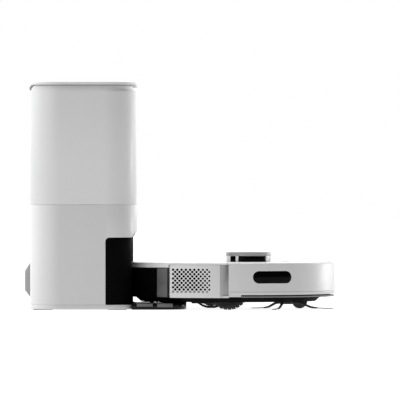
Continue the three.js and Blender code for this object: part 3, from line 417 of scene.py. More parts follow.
WHITE = moulded("white_plastic", (0.59, 0.59, 0.595), 0.34, depth=0.0, vary=0.006)
WHITE_DECK = moulded("white_deck", (0.63, 0.63, 0.635), 0.24, depth=0.0, vary=0.006)
GREY = moulded("grey_plastic", (0.36, 0.36, 0.365), 0.42, vary=0.04)
CAP_GREY = moulded("cap_grey", (0.42, 0.42, 0.425), 0.35, vary=0.03)
LIP_GREY = moulded("lip_grey", (0.13, 0.13, 0.132), 0.45, vary=0.05)
BAY_BLACK = moulded("bay_black", (0.0026, 0.0026, 0.0028), 0.7, depth=0.000004, gleam=0.015)
UNDER_BLACK = moulded("under_black", (0.0035, 0.0035, 0.0038), 0.7, depth=0.000004, gleam=0.02)
# Painted light: the posts' white is much lighter than the white plastic, to stand in for light in the shade
# under the cap.
POST_WHITE_PAINTED_LIGHT = moulded("post_white_painted_light", (0.93, 0.93, 0.935), 0.3, depth=0.0, vary=0.004)
WINDOW = moulded("window_black", (0.0012, 0.0012, 0.0014), 0.12, depth=0.0, gleam=0.06)
BAND_GREY = moulded("band_grey", (0.075, 0.075, 0.078), 0.38, vary=0.05)
BLACK = moulded("black_plastic", (0.006, 0.006, 0.0065), 0.45, grain=1500.0, depth=0.00004, gleam=0.25)
GLOSS = moulded("gloss_black", (0.002, 0.002, 0.0022), 0.09, depth=0.000004, gleam=0.2)
RUBBER = moulded("rubber", (0.012, 0.012, 0.012), 0.75, grain=900.0, depth=0.0001)
BRISTLE = moulded("bristle", (0.018, 0.018, 0.019), 0.6, grain=600.0, gleam=0.2)
STEEL = moulded("steel", (0.60, 0.60, 0.62), 0.25, metal=1.0)
BRASS = moulded("contact_brass", (0.83, 0.62, 0.30), 0.22, metal=1.0)
CLOTH = fibrous("bag_fabric", (0.80, 0.79, 0.75))
PAPER = fibrous("filter_paper", (0.74, 0.71, 0.62), 1500.0)
BOARD = board_material("circuit_board")
WRAP = moulded("battery_wrap", (0.03, 0.06, 0.20), 0.3)
LIGHT = moulded("status_light", (0.78, 0.84, 0.88), 0.5)


# ------------------------------------------------------------------ CAD nodes that stay


def smoothing_group():
    """Geometry nodes that shade smooth across edges flatter than an angle."""
    group = bpy.data.node_groups.new("smooth_by_angle", "GeometryNodeTree")
    group.interface.new_socket("Geometry", in_out="INPUT", socket_type="NodeSocketGeometry")
    group.interface.new_socket("Geometry", in_out="OUTPUT", socket_type="NodeSocketGeometry")
    source = group.nodes.new("NodeGroupInput")
    target = group.nodes.new("NodeGroupOutput")
    angle = group.nodes.new("GeometryNodeInputMeshEdgeAngle")
    compare = group.nodes.new("FunctionNodeCompare")
    compare.operation = "LESS_EQUAL"
    compare.inputs["B"].default_value = math.radians(35)
    edges = group.nodes.new("GeometryNodeSetShadeSmooth")
    edges.domain = "EDGE"
    faces = group.nodes.new("GeometryNodeSetShadeSmooth")
    faces.domain = "FACE"
    group.links.new(angle.outputs["Unsigned Angle"], compare.inputs["A"])
    group.links.new(source.outputs[0], edges.inputs["Geometry"])
    group.links.new(compare.outputs["Result"], edges.inputs["Shade Smooth"])
    group.links.new(edges.outputs["Geometry"], faces.inputs["Geometry"])
    group.links.new(faces.outputs["Geometry"], target.inputs[0])
    return group


SMOOTHING = smoothing_group()


def keep(node, material, bevel):
    """Keeps a CAD node: welds its triangles into plain faces, rounds its edges and paints it."""
    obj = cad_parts[node]
    obj.data.materials.clear()
    obj.data.materials.append(material)
    weld = obj.modifiers.new("weld", "WELD")
    weld.merge_threshold = 0.00001
    flat = obj.modifiers.new("flat", "DECIMATE")
    flat.decimate_type = "DISSOLVE"
    flat.angle_limit = math.radians(1.0)
    add_bevel(obj, bevel, 32)
    smooth = obj.modifiers.new("smooth", "NODES")
    smooth.node_group = SMOOTHING


# What each kept node is made of, and the bevel of its edges in millimetres.
KEPT = {
    "bag_bay_liner": (GREY, 0.6), "bag_collar": (PAPER, 0.3),
    "lid_hinge_pin": (STEEL, 0.2), "rear_cover": (GREY, 1.6), "suction_port_seal": (RUBBER, 0.5),
    "suction_duct": (BLACK, 0.3), "suction_motor": (BLACK, 0.8), "fan_impeller": (GREY, 0.3),
    "exhaust_filter": (PAPER, 0.4), "power_board": (BOARD, 0.3), "mains_inlet": (BLACK, 0.4),
    "status_lens": (LIGHT, 0.3), "docking_ramp": (GLOSS, 0.6), "charge_contact_left": (BRASS, 0.3),
    "charge_contact_right": (BRASS, 0.3), "lid_gasket": (RUBBER, 0.6), "chassis": (UNDER_BLACK, 0.4),
    "lidar_base": (BLACK, 0.3), "lidar_head": (BLACK, 0.4), "lidar_window_ring": (WINDOW, 0.2),
    "power_button": (WHITE_DECK, 0.3), "home_button": (WHITE_DECK, 0.3),
    "dust_tank": (GLOSS, 0.6), "tank_filter": (PAPER, 0.2), "charge_pad_left": (BRASS, 0.3),
    "charge_pad_right": (BRASS, 0.3), "wheel_arm_left": (BLACK, 0.5), "wheel_arm_right": (BLACK, 0.5),
    "wheel_hub_left": (BLACK, 0.6), "wheel_hub_right": (BLACK, 0.6), "caster_fork": (BLACK, 0.5),
    "caster_wheel": (RUBBER, 0.8), "main_brush_cover": (BLACK, 0.4), "battery": (WRAP, 1.0),
    "main_board": (BOARD, 0.3), "suction_fan": (BLACK, 0.8), "window_left": (WINDOW, 0.2),
    "window_right": (WINDOW, 0.2), "window_front": (WINDOW, 0.2),
    "foot_rear_left": (RUBBER, 0.5), "foot_rear_right": (RUBBER, 0.5),
    "foot_front_left": (RUBBER, 0.5), "foot_front_right": (RUBBER, 0.5),
}
for kept_node, (kept_material, kept_bevel) in KEPT.items():
    keep(kept_node, kept_material, kept_bevel)


# ------------------------------------------------------------------ dock


def bay_mouth():
    """What is cut away from the lower shell round the bay, with a rounded upper corner."""
    top = BAY_HIGH.z + 0.4
    corner = 6.5
    rise = 11  # how much higher the cut ends at the tower's front
    ahead = LOWER_HIGH.x + 50
    outline = [(BAY_LOW.x, 0), (BAY_LOW.x, top - corner)]
    for i in range(1, 7):
        t = math.radians(180 - 15 * i)
        outline.append((BAY_LOW.x + corner + corner * math.cos(t), top - corner + corner * math.sin(t)))
    outline += [(BAY_HIGH.x, top), (LOWER_HIGH.x + 1, top + rise), (ahead, top + rise), (ahead, 0)]
    return Shape().loft([[(x, y, z) for x, z in outline] for y in (-BEYOND, BEYOND)])


def lower_tower():
    """The dock's lower shell: a tube with its front cut away round the black bay."""
    low, high = LOWER_LOW.z, LOWER_HIGH.z
    rings = [
        tower_ring(WALL, low), tower_ring(0.15, low), tower_ring(0, low + 0.2),
        tower_ring(0, high - 0.4), tower_ring(0.2, high), tower_ring(WALL, high),
    ]
    obj = Shape().loft(rings, closed=True).solid("lower_tower")
    inlet_low, inlet_high = box_mm("mains_inlet")
    socket = Shape().block(
        (inlet_low.x - 5, inlet_low.y - GAP, inlet_low.z - GAP),
        (inlet_low.x + 6, inlet_high.y + GAP, inlet_high.z + GAP),
    )
    carve(obj, bay_mouth(), socket)
    add_bevel(obj, 0.5, 40)
    return dress(obj, WHITE, "station", ["lower_shell"])


def upper_tower():
    """The dock's upper shell, drawn in under the lid's edge, with a narrow slot just below the lid."""
    low, high = UPPER_LOW.z, UPPER_HIGH.z
    shoulder = high - 10.7  # where the shell starts to lean in
    recess = 9.2  # height of the recess under the lid
    slot_height, slot_depth = 1.4, 2.2
    rings = [tower_ring(WALL, low), tower_ring(0.1, low), tower_ring(0, low + 0.2)]
    rings += [tower_ring(0, shoulder - 1), tower_ring(0.3, high - recess - 0.5, 0.3)]
    rings.append(tower_ring(0.5, high - recess, 1.2))
    for i in range(7):
        t = math.radians(15 * i)
        inset = 0.5 + (COVE_INSET - 0.5) * math.sin(t)
        z = high - 2 - (recess - 2) * (1 - math.sin(t)) ** 0.8
        rings.append(tower_ring(inset, z, FINGER_STEP))
    rings.append(tower_ring(COVE_INSET, high - slot_height, FINGER_STEP))
    for z in (high - slot_height, high):
        rings.append(tower_ring(COVE_INSET + slot_depth, z, FINGER_STEP + slot_depth))
    for z in (high, shoulder - 4):
        rings.append(tower_ring(WALL + COVE_INSET, z, WALL + FINGER_STEP))
    rings.append(tower_ring(WALL, shoulder - 8))
    obj = Shape().loft(rings, closed=True).solid("upper_tower")
    hinge_half, hinge_floor = 61, 353
    notch = Shape().block(
        (UPPER_LOW.x - 9, -hinge_half, hinge_floor), (UPPER_LOW.x + 8.5, hinge_half, high + 5)
    )
    lens_low, lens_high = box_mm("status_lens")
    lens_slot = Shape().block(
        (lens_low.x - GAP, lens_low.y - GAP, lens_low.z - GAP),
        (lens_high.x + 5, lens_high.y + GAP, lens_high.z + GAP),
    )
    carve(obj, notch)
    add_bevel(obj, 0.35, 40)
    carve(obj, lens_slot)
    return dress(obj, WHITE, "station", ["upper_shell"])


def lid_plate():
    """The thin lid, with rounded edges."""
    low, high = LID_BOTTOM, LID_HIGH.z
    thick = high - low

    def ring(inset, z):
        outline = rounded_outline(
            UPPER_LOW.x + inset, LID_HIGH.x - inset, LID_LOW.y + inset, LID_HIGH.y - inset,
            CORNER - inset,
        )
        return [(x, y, z) for x, y in outline]

    # The rounded edge: the inset, and the share of the lid's thickness where it is reached.
    edge = [
        (2.0, 0.0), (0.8, 0.02), (0.2, 0.14), (0.0, 0.34),
        (0.0, 0.62), (0.25, 0.82), (0.9, 0.95), (2.2, 1.0),
    ]
    rings = [ring(9, low)]
    rings += [ring(inset, low + share * thick) for inset, share in edge]
    rings += [ring(10, high - 0.02), ring(30, high)]
    return Shape().loft(rings).piece("lid_plate", WHITE, "lid", "white_plastic", ["lid"])


def lid_knuckles():
    """The hinge knuckles under the lid's back edge."""
    pin_low, pin_high = box_mm("lid_hinge_pin")
    x, z = (pin_low.x + pin_high.x) / 2, (pin_low.z + pin_high.z) / 2
    knuckles = Shape()
    count = 5
    half, radius = 60, 5
    span = 2 * half / count
    for i in range(count):
        y = -half + i * span
        y_cylinder(knuckles, x, z, radius, y + 0.4, y + span - 0.4, 24)
        knuckles.block((x - 2, y + 0.6, z + 1), (x + radius, y + span - 0.6, LID_BOTTOM + 0.3))
    return knuckles.piece("lid_knuckles", GREY, "lid", "grey_plastic")


def base_plate():
    """The plate under the tower, its edge almost flush with the shell above, and its low skirt."""
    low, high = box_mm("base_plate")[0].z, LOWER_LOW.z - 0.15
    front = BAY_HIGH.x
    foot = 1.1  # height of the skirt's lower edge above the floor
    flush = 0.15

    def ring(inset, z):
        outline = rounded_outline(
            LOWER_LOW.x + inset, LOWER_HIGH.x - inset, LOWER_LOW.y + inset, LOWER_HIGH.y - inset,
            CORNER - inset,
        )
        return [(min(x, front - max(0.0, inset - 0.5)), y, z) for x, y in outline]

    rings = [ring(5.5, low), ring(4.5, foot), ring(1.0, foot), ring(0.4, foot + 0.3)]
    rings += [ring(flush, foot + 1.2), ring(flush, high - 0.1), ring(0.2, high)]
    return Shape().loft(rings).piece(
        "base_plate_flush", WHITE, "station", "white_plastic", ["base_plate"]
    )


def bay():
    """The black bay: a block with a round scoop for the robot's back and a hole for the suction port."""
    corner = 46
    outline = rounded_outline(LOWER_LOW.x, BAY_HIGH.x, BAY_LOW.y, BAY_HIGH.y, corner, 20)
    block = Shape().loft([[(x, y, z) for x, y in outline] for z in (BAY_LOW.z, BAY_HIGH.z)])
    obj = block.solid("bay_block")
    rear = Shape().block((LOWER_LOW.x - 20, -BEYOND, 0), (BAY_LOW.x, BEYOND, BEYOND))
    scoop_radius, scoop_floor = RADIUS + 3, 11.5
    scoop = Shape().loft([circle(scoop_radius, z, ROBOT_X, 0, 144) for z in (scoop_floor, 105)])
    carve(obj, rear, scoop)
    seal_low, seal_high = box_mm("suction_port_seal")
    y, z = (seal_low.y + seal_high.y) / 2, (seal_low.z + seal_high.z) / 2
    seat_radius, port_radius = (seal_high.z - seal_low.z) / 2 + GAP, 15
    port = x_cylinder(y, z, port_radius, -BEYOND, 0)
    seat = x_cylinder(y, z, seat_radius, seal_low.x - GAP, 0)
    carve(obj, port, seat)
    add_bevel(obj, 0.9, 40, 3)
    return dress(obj, BAY_BLACK, "station", ["bay_insert"])


# ------------------------------------------------------------------ robot


def grille(side):
    """The grille's round holes in staggered rows, a little wider towards the back."""
    rows, columns = 11, 9
    first, top = 31.1, 65.2  # the first hole's place behind the robot's axis, and its height
    pitch_x, pitch_z = 6.85, 3.52
    through, shallow = 12, 3.4  # the lowest row is not cut right through
    holes = Shape()
    for row in range(rows):
        shift = 0.0 if row % 2 else -pitch_x / 2
        z = top - pitch_z * row
        depth = shallow if row == rows - 1 else through
        for column in range(columns):
            x = ROBOT_X - first - pitch_x * column + shift
            radius = min(2.05, 1.7 + 0.12 * column)
            surface = math.sqrt(RADIUS ** 2 - (x - ROBOT_X) ** 2)
            y0, y1 = sorted((side * (surface + 6), side * (surface - depth)))
            y_cylinder(holes, x, z, radius, y0, y1, 14)
    return holes


def side_shell(side):
    """A white side shell with its grille, bevelled where it meets the bumper."""
    low, high, r = SHELL_LOW.z, SHELL_HIGH.z, RADIUS
    profile = [
        (r - 3.6, low), (r - 0.8, low), (r - 0.2, low + 0.5), (r, low + 1.4), (r, low + 2.9),
        (r, low + 3.1), (r, high - 0.8), (r - 0.3, high - 0.2), (r - 0.8, high), (r - 3.6, high),
    ]
    bevel, depth, tuck = 14.0, 13.5, 0.3
    foot, foot_depth = 3, 3.8  # below this height the bevel is no deeper than this

    def bevelled(t, z):
        back = (tuck - RADIUS * math.cos(t)) / (bevel + tuck)
        dip = depth * max(0.0, 1 - back) ** 0.72
        return dip if z > low + foot else min(dip, foot_depth)

    name = "left" if side > 0 else "right"
    start = 90 - math.degrees(math.asin(tuck / RADIUS))
    shape = sweep(profile, start, REAR_SEAM, 84, bevelled).mirrored(side)
    obj = shape.solid("side_shell_grille_" + name)
    carve(obj, grille(side))
    return dress(obj, WHITE, "robot", ["side_shell_" + name])


def window_opening(angle, half_span):
    """The pill-shaped opening of a sensor window, cut along the robot's radius."""
    low, high = box_mm("window_front")
    middle = (low.z + high.z) / 2
    half_height = (high.z - low.z) / 2 + 0.35
    half_length = RADIUS * math.sin(math.radians(half_span))
    outline = []
    for centre, start in ((half_length - half_height, -90), (half_height - half_length, 90)):
        for i in range(17):
            t = math.radians(start + 180 * i / 16)
            outline.append((centre + half_height * math.cos(t), half_height * math.sin(t)))
    turn = Matrix.Rotation(math.radians(angle), 4, "Z")
    rings = []
    for reach in (RADIUS - 30, RADIUS + 20):
        ring = [turn @ Vector((reach, u, v + middle)) for u, v in outline]
        rings.append([(p.x + ROBOT_X, p.y, p.z) for p in ring])
    return Shape().loft(rings)


def bumper_shell():
    """The front bumper, with a parting line low down and three sensor openings."""
    low, top, r = BUMPER_LOW.z, DECK, RADIUS
    profile = [
        (r - 3.4, low + 4.2), (r - 0.3, low + 4.2), (r, low + 4.6), (r, low + 8.4),
        (r - 0.8, low + 8.7), (r - 0.8, low + 9.3), (r, low + 9.7),
        (r, top - 4.4), (r - 0.3, top - 2.6), (r - 1.2, top - 1.1), (r - 2.6, top - 0.25),
        (r - 4.2, top), (r - 5.3, top), (r - 5.5, top - 0.2), (r - 5.5, top - 2), (r - 3.4, top - 4),
    ]
    obj = sweep(profile, -90, 90, 120).solid("bumper_shell")
    side_window, side_span, front_span = 65.8, 11.3, 8.6
    carve(
        obj, window_opening(-side_window, side_span), window_opening(side_window, side_span),
        window_opening(0, front_span),
    )
    return dress(obj, WHITE, "bumper", ["bumper"], 40)


def bumper_cheeks():
    """The white end of the bumper's foot at each side."""
    low, r = BUMPER_LOW.z, RADIUS
    profile = [
        (r - 3.4, low + 1.0), (r - 1.0, low + 1.0), (r - 0.2, low + 1.5), (r, low + 2.2),
        (r, low + 4.4), (r - 3.4, low + 4.4),
    ]
    cheeks = Shape()
    for start, end in ((-90, -83.4), (83.4, 90)):
        cheek = sweep(profile, start, end, 6)
        cheeks.add(cheek.vertices, cheek.faces)
    return cheeks.piece("bumper_end_cheeks", WHITE, "bumper", "white_plastic", angle=40)


def bumper_lip():
    """The grey strip along the bumper's foot, between the cheeks."""
    low, r = BUMPER_LOW.z, RADIUS
    end = 83.2
    profile = [
        (r - 3.4, low), (r - 2.2, low), (r - 1.3, low + 0.6), (r - 1.0, low + 2.2), (r - 3.4, low + 2.2),
    ]
    return sweep(profile, -end, end, 120).piece(
        "bumper_lip", LIP_GREY, "bumper", "grey_plastic", angle=40
    )


def deck_reach(t):
    """How far the deck reaches at an angle: to the rim at the back, inside the bumper in front."""
    if math.cos(t) < -SEAM / RADIUS:
        return RADIUS
    across = -SEAM * math.cos(t)
    return across + math.sqrt(across ** 2 + (RADIUS - 6.5) ** 2 - SEAM ** 2)


def deck_angles():
    """Even steps all round, with a close pair on each side where the reach jumps."""
    steps = 144
    angles = [2 * math.pi * k / steps for k in range(steps)]
    jump = math.acos(-SEAM / RADIUS)
    for t in (jump - 0.0004, jump + 0.0004):
        angles += [t, 2 * math.pi - t]
    return sorted(angles)


def deck_openings():
    """The round openings for the turret and the two buttons."""
    turret_radius, button_radius = 31, 8.9
    below, above = 60, 90
    turret_x = (CAP_LOW.x + CAP_HIGH.x) / 2
    openings = [Shape().loft([circle(turret_radius, z, turret_x, 0, 64) for z in (below, above)])]
    for name in ("power_button", "home_button"):
        low, high = box_mm(name)
        x, y = (low.x + high.x) / 2, (low.y + high.y) / 2
        openings.append(Shape().loft([circle(button_radius, z, x, y, 48) for z in (below, above)]))
    return openings


def deck_skirt(under):
    """The white skirt below the deck's rolled edge, at the back between the side shells."""
    low, r = box_mm("top_cover")[0].z, RADIUS
    start = REAR_SEAM + 0.8
    profile = [
        (r - 5, low), (r - 1.0, low), (r - 0.2, low + 0.6), (r - 0.1, low + 1.4),
        (r - 0.1, under + 0.5), (r - 5, under + 0.5),
    ]
    return sweep(profile, start, 360 - start, 90).piece(
        "deck_rear_skirt", WHITE_DECK, "robot", "white_plastic", angle=40
    )


def deck():
    """The white top cover, with a rolled edge and openings for the turret and the buttons."""
    under = DECK - 3.2
    middle = 60  # how far in from the edge the flat middle starts
    edge = [
        (2.0, under), (0.35, under), (0.1, under + 0.5), (0.2, DECK - 1.9), (0.9, DECK - 0.8),
        (2.2, DECK - 0.15), (3.6, DECK),
    ]
    angles = deck_angles()
    rings = []
    for inset, z in [(middle, under)] + edge + [(middle, DECK)]:
        ring = []
        for t in angles:
            r = deck_reach(t) - inset
            ring.append((ROBOT_X + r * math.cos(t), r * math.sin(t), z))
        rings.append(ring)
    obj = Shape().loft(rings).solid("deck")
    carve(obj, *deck_openings())
    deck_skirt(under)
    return dress(obj, WHITE_DECK, "robot", ["top_cover"], 40)


def turret():
    """The turret's grey cap plate and the white posts that carry it."""
    x = (CAP_LOW.x + CAP_HIGH.x) / 2
    outer, low, high = (CAP_HIGH.x - CAP_LOW.x) / 2, CAP_HIGH.z - 6.6, CAP_HIGH.z
    profile = [
        (outer - 9, low), (outer - 0.9, low), (outer - 0.2, low + 0.3), (outer, low + 0.9),
        (outer, high - 1.3), (outer - 0.35, high - 0.45), (outer - 1.3, high), (outer - 6, high),
        (outer - 6.4, high - 0.4), (outer - 7.2, high - 0.4),
    ]
    lathe(profile, x).piece("lidar_cap_plate", CAP_GREY, "robot", "grey_plastic", ["lidar_cap"], angle=30)

    inner, foot = 34.9, DECK + 0.1
    section = [
        (inner, foot), (outer - 0.6, foot), (outer - 0.4, foot + 0.4), (outer - 0.4, low + 0.4),
        (inner, low + 0.4),
    ]
    posts = Shape()
    for start, end in ((-39, -18), (18, 39), (117.5, 125.5), (145, 215), (234.5, 242.5)):
        rings = []
        steps = max(3, round((end - start) / 4))
        for i in range(steps + 1):
            t = math.radians(start + (end - start) * i / steps)
            rings.append([(x + r * math.cos(t), r * math.sin(t), z) for r, z in section])
        posts.loft(rings)
    # The posts are painted lighter than the white plastic, as painted light in the cap's shade.
    posts.piece("lidar_posts", POST_WHITE_PAINTED_LIGHT, "robot", "white_plastic", angle=40)


def tank_grips():
    """The grey finger grip at each side of the dust tank, with a groove across it."""
    low, high = TANK_LOW.z + 0.4, TANK_HIGH.z - 0.4
    groove = (low + high) / 2 - 3
    outer = RADIUS - 0.02
    profile = [
        (outer - 0.34, low), (outer - 0.1, low + 0.3), (outer, low + 0.8), (outer, groove - 0.5),
        (outer - 0.25, groove - 0.2), (outer - 0.25, groove + 0.2), (outer, groove + 0.5),
        (outer, high - 0.8), (outer - 0.1, high - 0.3), (outer - 0.34, high),
    ]
    front, back = 124.4, 131.2
    for name, start, end in (("right", -back, -front), ("left", front, back)):
        sweep(profile, start, end, 12).piece(
            "tank_grip_" + name, BAND_GREY, "robot", "grey_plastic", angle=40
        )


def tread_lug(x, z, y0, y1, turn, lean, root, outer):
    """One slanted lug of a tyre: it leans round by an angle from y0 to y1."""
    half_width = 0.045
    section = (
        (root - 0.5, -half_width), (root - 0.5, half_width),
        (outer, half_width * 0.7), (outer, -half_width * 0.7),
    )
    rings = []
    for y, t in ((y0, turn), (y1, turn + lean)):
        rings.append([(x + r * math.cos(t + w), y, z + r * math.sin(t + w)) for r, w in section])
    return Shape().loft(rings)


def tyre(side):
    """A drive tyre with slanted lugs in two rows."""
    name = "left" if side > 0 else "right"
    low, high = box_mm("tyre_" + name)
    x, z = (low.x + high.x) / 2, (low.z + high.z) / 2
    middle = (low.y + high.y) / 2
    outer = (high.z - low.z) / 2
    inner, root = 27.3, outer - 2.2
    profile = [
        (inner, low.y), (root - 1.4, low.y), (root, low.y + 1.4), (root, high.y - 1.4),
        (root - 1.4, high.y), (inner, high.y),
    ]
    turns = [2 * math.pi * k / 72 for k in range(72)]
    rings = [[(x + r * math.cos(t), y, z + r * math.sin(t)) for t in turns] for r, y in profile]
    shape = Shape().loft(rings, closed=True)
    lugs = 30
    for i in range(lugs):
        for half, offset in ((-1, 0.0), (1, 0.5)):
            turn = 2 * math.pi * (i + offset) / lugs
            y0, y1 = sorted((middle + half * 0.6, middle + half * 8.2))
            lug = tread_lug(x, z, y0, y1, turn, 0.045 * half, root, outer)
            shape.add(lug.vertices, lug.faces)
    return shape.piece(
        "tyre_tread_" + name, RUBBER, "wheel_" + name, "rubber", ["tyre_" + name], angle=30
    )


def brush_arm(shape, hub, angle, draw):
    """Adds one arm of the side brush: a stem that bends to the floor and ends in a tuft."""
    out = Vector((math.cos(angle), math.sin(angle), 0))
    across = Vector((-math.sin(angle), math.cos(angle), 0))

    def at(reach, height, swing=0.0):
        return hub + out * reach + across * swing + Vector((0, 0, height))

    stem = [
        at(7, 11.5), at(16, 11.2), at(24, 10.4), at(32, 7.2), at(40, 4.0), at(46, 2.8), at(52, 2.4),
    ]
    shape.tube(stem, [2.6, 2.4, 2.2, 2.0, 1.8, 1.5, 1.2], 10)
    bristles = 16
    for _ in range(bristles):
        spread = draw.uniform(-1, 1)
        lift = draw.uniform(-0.5, 0.6)
        length = draw.uniform(74, 79.6)
        bristle = [
            at(44, 3.1 + 0.3 * lift, 0.4 * spread), at(54, 2.2 + 0.3 * lift, 0.9 * spread),
            at(66, 1.5 + 0.4 * lift, 1.9 * spread), at(length, 1.25 + 0.5 * lift, 3.2 * spread),
        ]
        shape.tube(bristle, [0.5, 0.5, 0.45, 0.3], 5)


def side_brush():
    """The side brush: a turned hub and three arms."""
    x, y = ROBOT_X + 94, -86
    hub = [
        (0.6, 9.2), (5, 9.2), (6, 8.5), (10.2, 8.6), (11, 9.6), (11, 14.8), (10.2, 15.5), (3, 15.5),
        (3, 27),
    ]
    shape = lathe(hub, x, y, 48)
    draw = random.Random(7)
    for arm in range(3):
        brush_arm(shape, Vector((x, y, 0)), math.radians(14 + 120 * arm), draw)
    return shape.piece(
        "side_brush_bristles", BRISTLE, "side_brush", "bristle", ["side_brush"], angle=40
    )


def main_brush():
    """The main brush: a core with spiral rubber blades and rows of bristle tufts."""
    x, z = (BRUSH_LOW.x + BRUSH_HIGH.x) / 2, (BRUSH_LOW.z + BRUSH_HIGH.z) / 2
    half, core, flange, outer = 80, 9, 13, 19.6
    twist = 0.9  # how far the blades and the rows lean round from the middle to the ends
    shape = Shape()
    y_cylinder(shape, x, z, 4, BRUSH_LOW.y, BRUSH_HIGH.y, 24)
    y_cylinder(shape, x, z, core, -half, half, 40)
    for y in (-half, half - 2):
        y_cylinder(shape, x, z, flange, y, y + 2, 40)
    steps = 40
    blades = 4
    section = ((8.6, -0.12), (outer, -0.03), (outer, 0.03), (8.6, 0.12))
    for blade in range(blades):
        rings = []
        for i in range(steps + 1):
            y = -half + 3 + (2 * half - 6) * i / steps
            t = 2 * math.pi * blade / blades + twist * abs(2 * i / steps - 1)
            rings.append([(x + r * math.cos(t + w), y, z + r * math.sin(t + w)) for r, w in section])
        shape.loft(rings)
    draw = random.Random(11)
    last = 45  # number of the last tuft in a row, counted from 0
    for row in range(blades):
        for i in range(last + 1):
            y = -half + 5 + (2 * half - 10) * i / last
            t = 2 * math.pi * (row + 0.5) / blades + twist * abs(2 * i / last - 1)
            for _ in range(3):
                lean = draw.uniform(-0.06, 0.06)
                drift = draw.uniform(-1.2, 1.2)
                strand = []
                for r in (8.5, 14, 19.4):
                    turn = t + lean * r / 19
                    strand.append((x + r * math.cos(turn), y + drift * (r - 8) / 11, z + r * math.sin(turn)))
                shape.tube(strand, [0.7, 0.6, 0.4], 4)
    return shape.piece(
        "main_brush_bristles", RUBBER, "main_brush", "rubber", ["main_brush"], angle=35
    )


def bag_form():
    """The dust bag before it is blown up, as one even mesh: a box drawn in at its ends."""
    low, high = box_mm("dust_bag")
    inset = 10
    middle_x, middle_y = (low.x + high.x) / 2, (low.y + high.y) / 2
    outline = rounded_outline(low.x + inset, high.x - inset, low.y + inset, high.y - inset, 22, 5)
    levels = [
        (14, low.z + 6), (2, low.z + 10), (0, low.z + 30), (0, high.z - 34), (3, high.z - 12),
        (16, high.z - 7),
    ]
    rings = []
    for pull, z in levels:
        ring = []
        for x, y in outline:
            away = Vector((x - middle_x, y - middle_y))
            away *= 1 - pull / away.length
            ring.append((middle_x + away.x, middle_y + away.y, z))
        rings.append(ring)
    obj = Shape().loft(rings).solid("dust_bag_cloth")
    remesh = obj.modifiers.new("remesh", "REMESH")
    remesh.mode = "VOXEL"
    remesh.voxel_size = 0.006
    bpy.context.view_layer.update()
    settle(obj)
    return obj


def blow_up(obj):
    """Blows the bag up as cloth under pressure, with no point moved further than a limit."""
    furthest = 0.011
    frames = 20
    rest = [v.co.copy() for v in obj.data.vertices]
    cloth = obj.modifiers.new("cloth", "CLOTH").settings
    cloth.quality = 6
    cloth.mass = 0.15
    cloth.tension_stiffness = 12
    cloth.bending_stiffness = 0.6
    cloth.use_pressure = True
    cloth.uniform_pressure_force = 4
    cloth.effector_weights.gravity = 0
    for number in range(1, frames + 1):
        bpy.context.scene.frame_set(number)
    settle(obj)
    for vertex, start in zip(obj.data.vertices, rest):
        step = vertex.co - start
        if step.length > furthest:
            vertex.co = start + step * (furthest / step.length)
    bpy.context.scene.frame_set(1)


def crumple(obj):
    """Gives the bag soft creases and folds, and holds it inside its CAD box."""
    low, high = box_mm("dust_bag")
    low_m, high_m = low * MM, high * MM
    crease_depth, fold_depth = 1.1, 1.3
    for vertex in obj.data.vertices:
        x, y, z = (c / MM for c in vertex.co)
        crease = crease_depth * math.sin(x * 0.19 + 2.2 * math.sin(y * 0.045))
        crease *= math.sin(z * 0.07 + 0.6 * math.sin(x * 0.08))
        fold = fold_depth * math.sin(y * 0.16 + 1.4 * math.sin(z * 0.05)) * math.sin(z * 0.043 + 1)
        vertex.co += vertex.normal * MM * (crease + fold)
        for axis in range(3):
            vertex.co[axis] = min(max(vertex.co[axis], low_m[axis]), high_m[axis])


def dust_bag():
    """The dust bag: a cloth form, blown up a little and then creased."""
    obj = bag_form()
    blow_up(obj)
    crumple(obj)
    fine = obj.modifiers.new("fine", "SUBSURF")
    fine.levels = 1
    fine.render_levels = 1
    dress(obj, CLOTH, "station", ["dust_bag"], 180)
    return obj


def ramp_inlays():
    """Grey inlays along both sides of the ramp."""
    sides = Shape()
    for side in (-1, 1):
        edge = side * RAMP_SIDE
        y0, y1 = sorted((edge - side * 3, edge + side * 0.25))
        for x0, x1, z0, z1 in ((-70, -44, 5.6, 10.2), (-37, -12, 4.6, 10.6)):
            sides.block((x0, y0, z0), (x1, y1, z1))
    return sides.piece("ramp_side_inlays", LIP_GREY, "station", "grey_plastic", bevel=0.5)


# ------------------------------------------------------------------ camera, floor and light


def floor():
    """The pale floor, which glows a little so that it stays white round the object."""
    size = 40.0
    corners = [(-size, -size, 0), (size, -size, 0), (size, size, 0), (-size, size, 0)]
    mesh = bpy.data.meshes.new("floor")
    mesh.from_pydata(corners, [], [(0, 1, 2, 3)])
    obj = bpy.data.objects.new("floor", mesh)
    bpy.context.scene.collection.objects.link(obj)
    obj.location.z = -0.0002
    white = moulded("floor_white", (0.2, 0.2, 0.2), 0.9, depth=0.0, vary=0.004, gleam=0.1)
    shader = white.node_tree.nodes["Principled BSDF"]
    shader.inputs["Emission Color"].default_value = (1, 1, 1, 1)
    shader.inputs["Emission Strength"].default_value = 0.92
    mesh.materials.append(white)


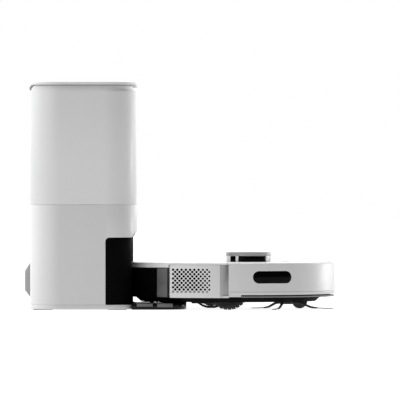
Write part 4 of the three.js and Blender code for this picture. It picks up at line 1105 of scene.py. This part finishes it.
def surroundings():
    """Soft light from all round but one dim corner, behind a plain white backdrop."""
    dim_corner = (0.56, -0.83, 0.0)
    white = (1, 1, 1, 1)
    world = bpy.data.worlds.new("studio")
    bpy.context.scene.world = world
    world.use_nodes = True
    tree = world.node_tree
    tree.nodes.clear()
    place = tree.nodes.new("ShaderNodeTexCoord")
    toward = tree.nodes.new("ShaderNodeVectorMath")
    toward.operation = "DOT_PRODUCT"
    toward.inputs[1].default_value = dim_corner
    tree.links.new(place.outputs["Generated"], toward.inputs[0])
    span = tree.nodes.new("ShaderNodeMapRange")
    span.interpolation_type = "SMOOTHSTEP"
    span.inputs["From Min"].default_value = 0.0
    span.inputs["From Max"].default_value = 0.8
    span.inputs["To Min"].default_value = STUDIO_BRIGHT
    span.inputs["To Max"].default_value = STUDIO_DIM
    tree.links.new(toward.outputs["Value"], span.inputs["Value"])
    soft = tree.nodes.new("ShaderNodeBackground")
    soft.inputs["Color"].default_value = white
    tree.links.new(span.outputs["Result"], soft.inputs["Strength"])
    backdrop = tree.nodes.new("ShaderNodeBackground")
    backdrop.inputs["Color"].default_value = white
    path = tree.nodes.new("ShaderNodeLightPath")
    mix = tree.nodes.new("ShaderNodeMixShader")
    tree.links.new(path.outputs["Is Camera Ray"], mix.inputs["Fac"])
    tree.links.new(soft.outputs["Background"], mix.inputs[1])
    tree.links.new(backdrop.outputs["Background"], mix.inputs[2])
    out = tree.nodes.new("ShaderNodeOutputWorld")
    tree.links.new(mix.outputs["Shader"], out.inputs["Surface"])


def lamp(name, place, aim, width, height, power):
    """A rectangular lamp at a place, turned towards a point. Lengths in metres, power in watts."""
    data = bpy.data.lights.new(name, "AREA")
    data.shape = "RECTANGLE"
    data.size = width
    data.size_y = height
    data.energy = power
    obj = bpy.data.objects.new(name, data)
    bpy.context.scene.collection.objects.link(obj)
    obj.location = place
    obj.rotation_mode = "QUATERNION"
    obj.rotation_quaternion = (Vector(aim) - Vector(place)).to_track_quat("-Z", "Y")


def camera():
    """A level camera far off to the robot's right, so the view is nearly parallel."""
    data = bpy.data.cameras.new("camera")
    data.sensor_width = 36.0
    data.lens = 494.5
    data.clip_end = 200.0
    obj = bpy.data.objects.new("camera", data)
    bpy.context.scene.collection.objects.link(obj)
    obj.location = (0.032, -9.0, 0.1775)
    obj.rotation_euler = (math.radians(90), 0, 0)
    bpy.context.scene.camera = obj


bpy.context.scene.view_settings.view_transform = "Standard"
floor()
surroundings()
lamp("light_over", (0.0, 0.9, 2.6), (0, 0.1, 0), 2.6, 2.0, 10)
lamp("light_left", (-2.3, 0.5, 0.8), (-0.1, 0, 0.15), 1.4, 1.6, 6)
lamp("light_right", (2.0, 1.6, 0.7), (0, 0, 0.15), 1.2, 1.4, 5)
lamp("light_low", (0.95, 0.5, 0.1), (0.2, 0, 0.06), 0.4, 0.2, 1.0)
camera()

lower_tower()
upper_tower()
lid_plate()
lid_knuckles()
base_plate()
bay()
side_shell(1)
side_shell(-1)
bumper_shell()
bumper_cheeks()
bumper_lip()
deck()
turret()
tank_grips()
tyre(1)
tyre(-1)
side_brush()
main_brush()
dust_bag()
ramp_inlays()
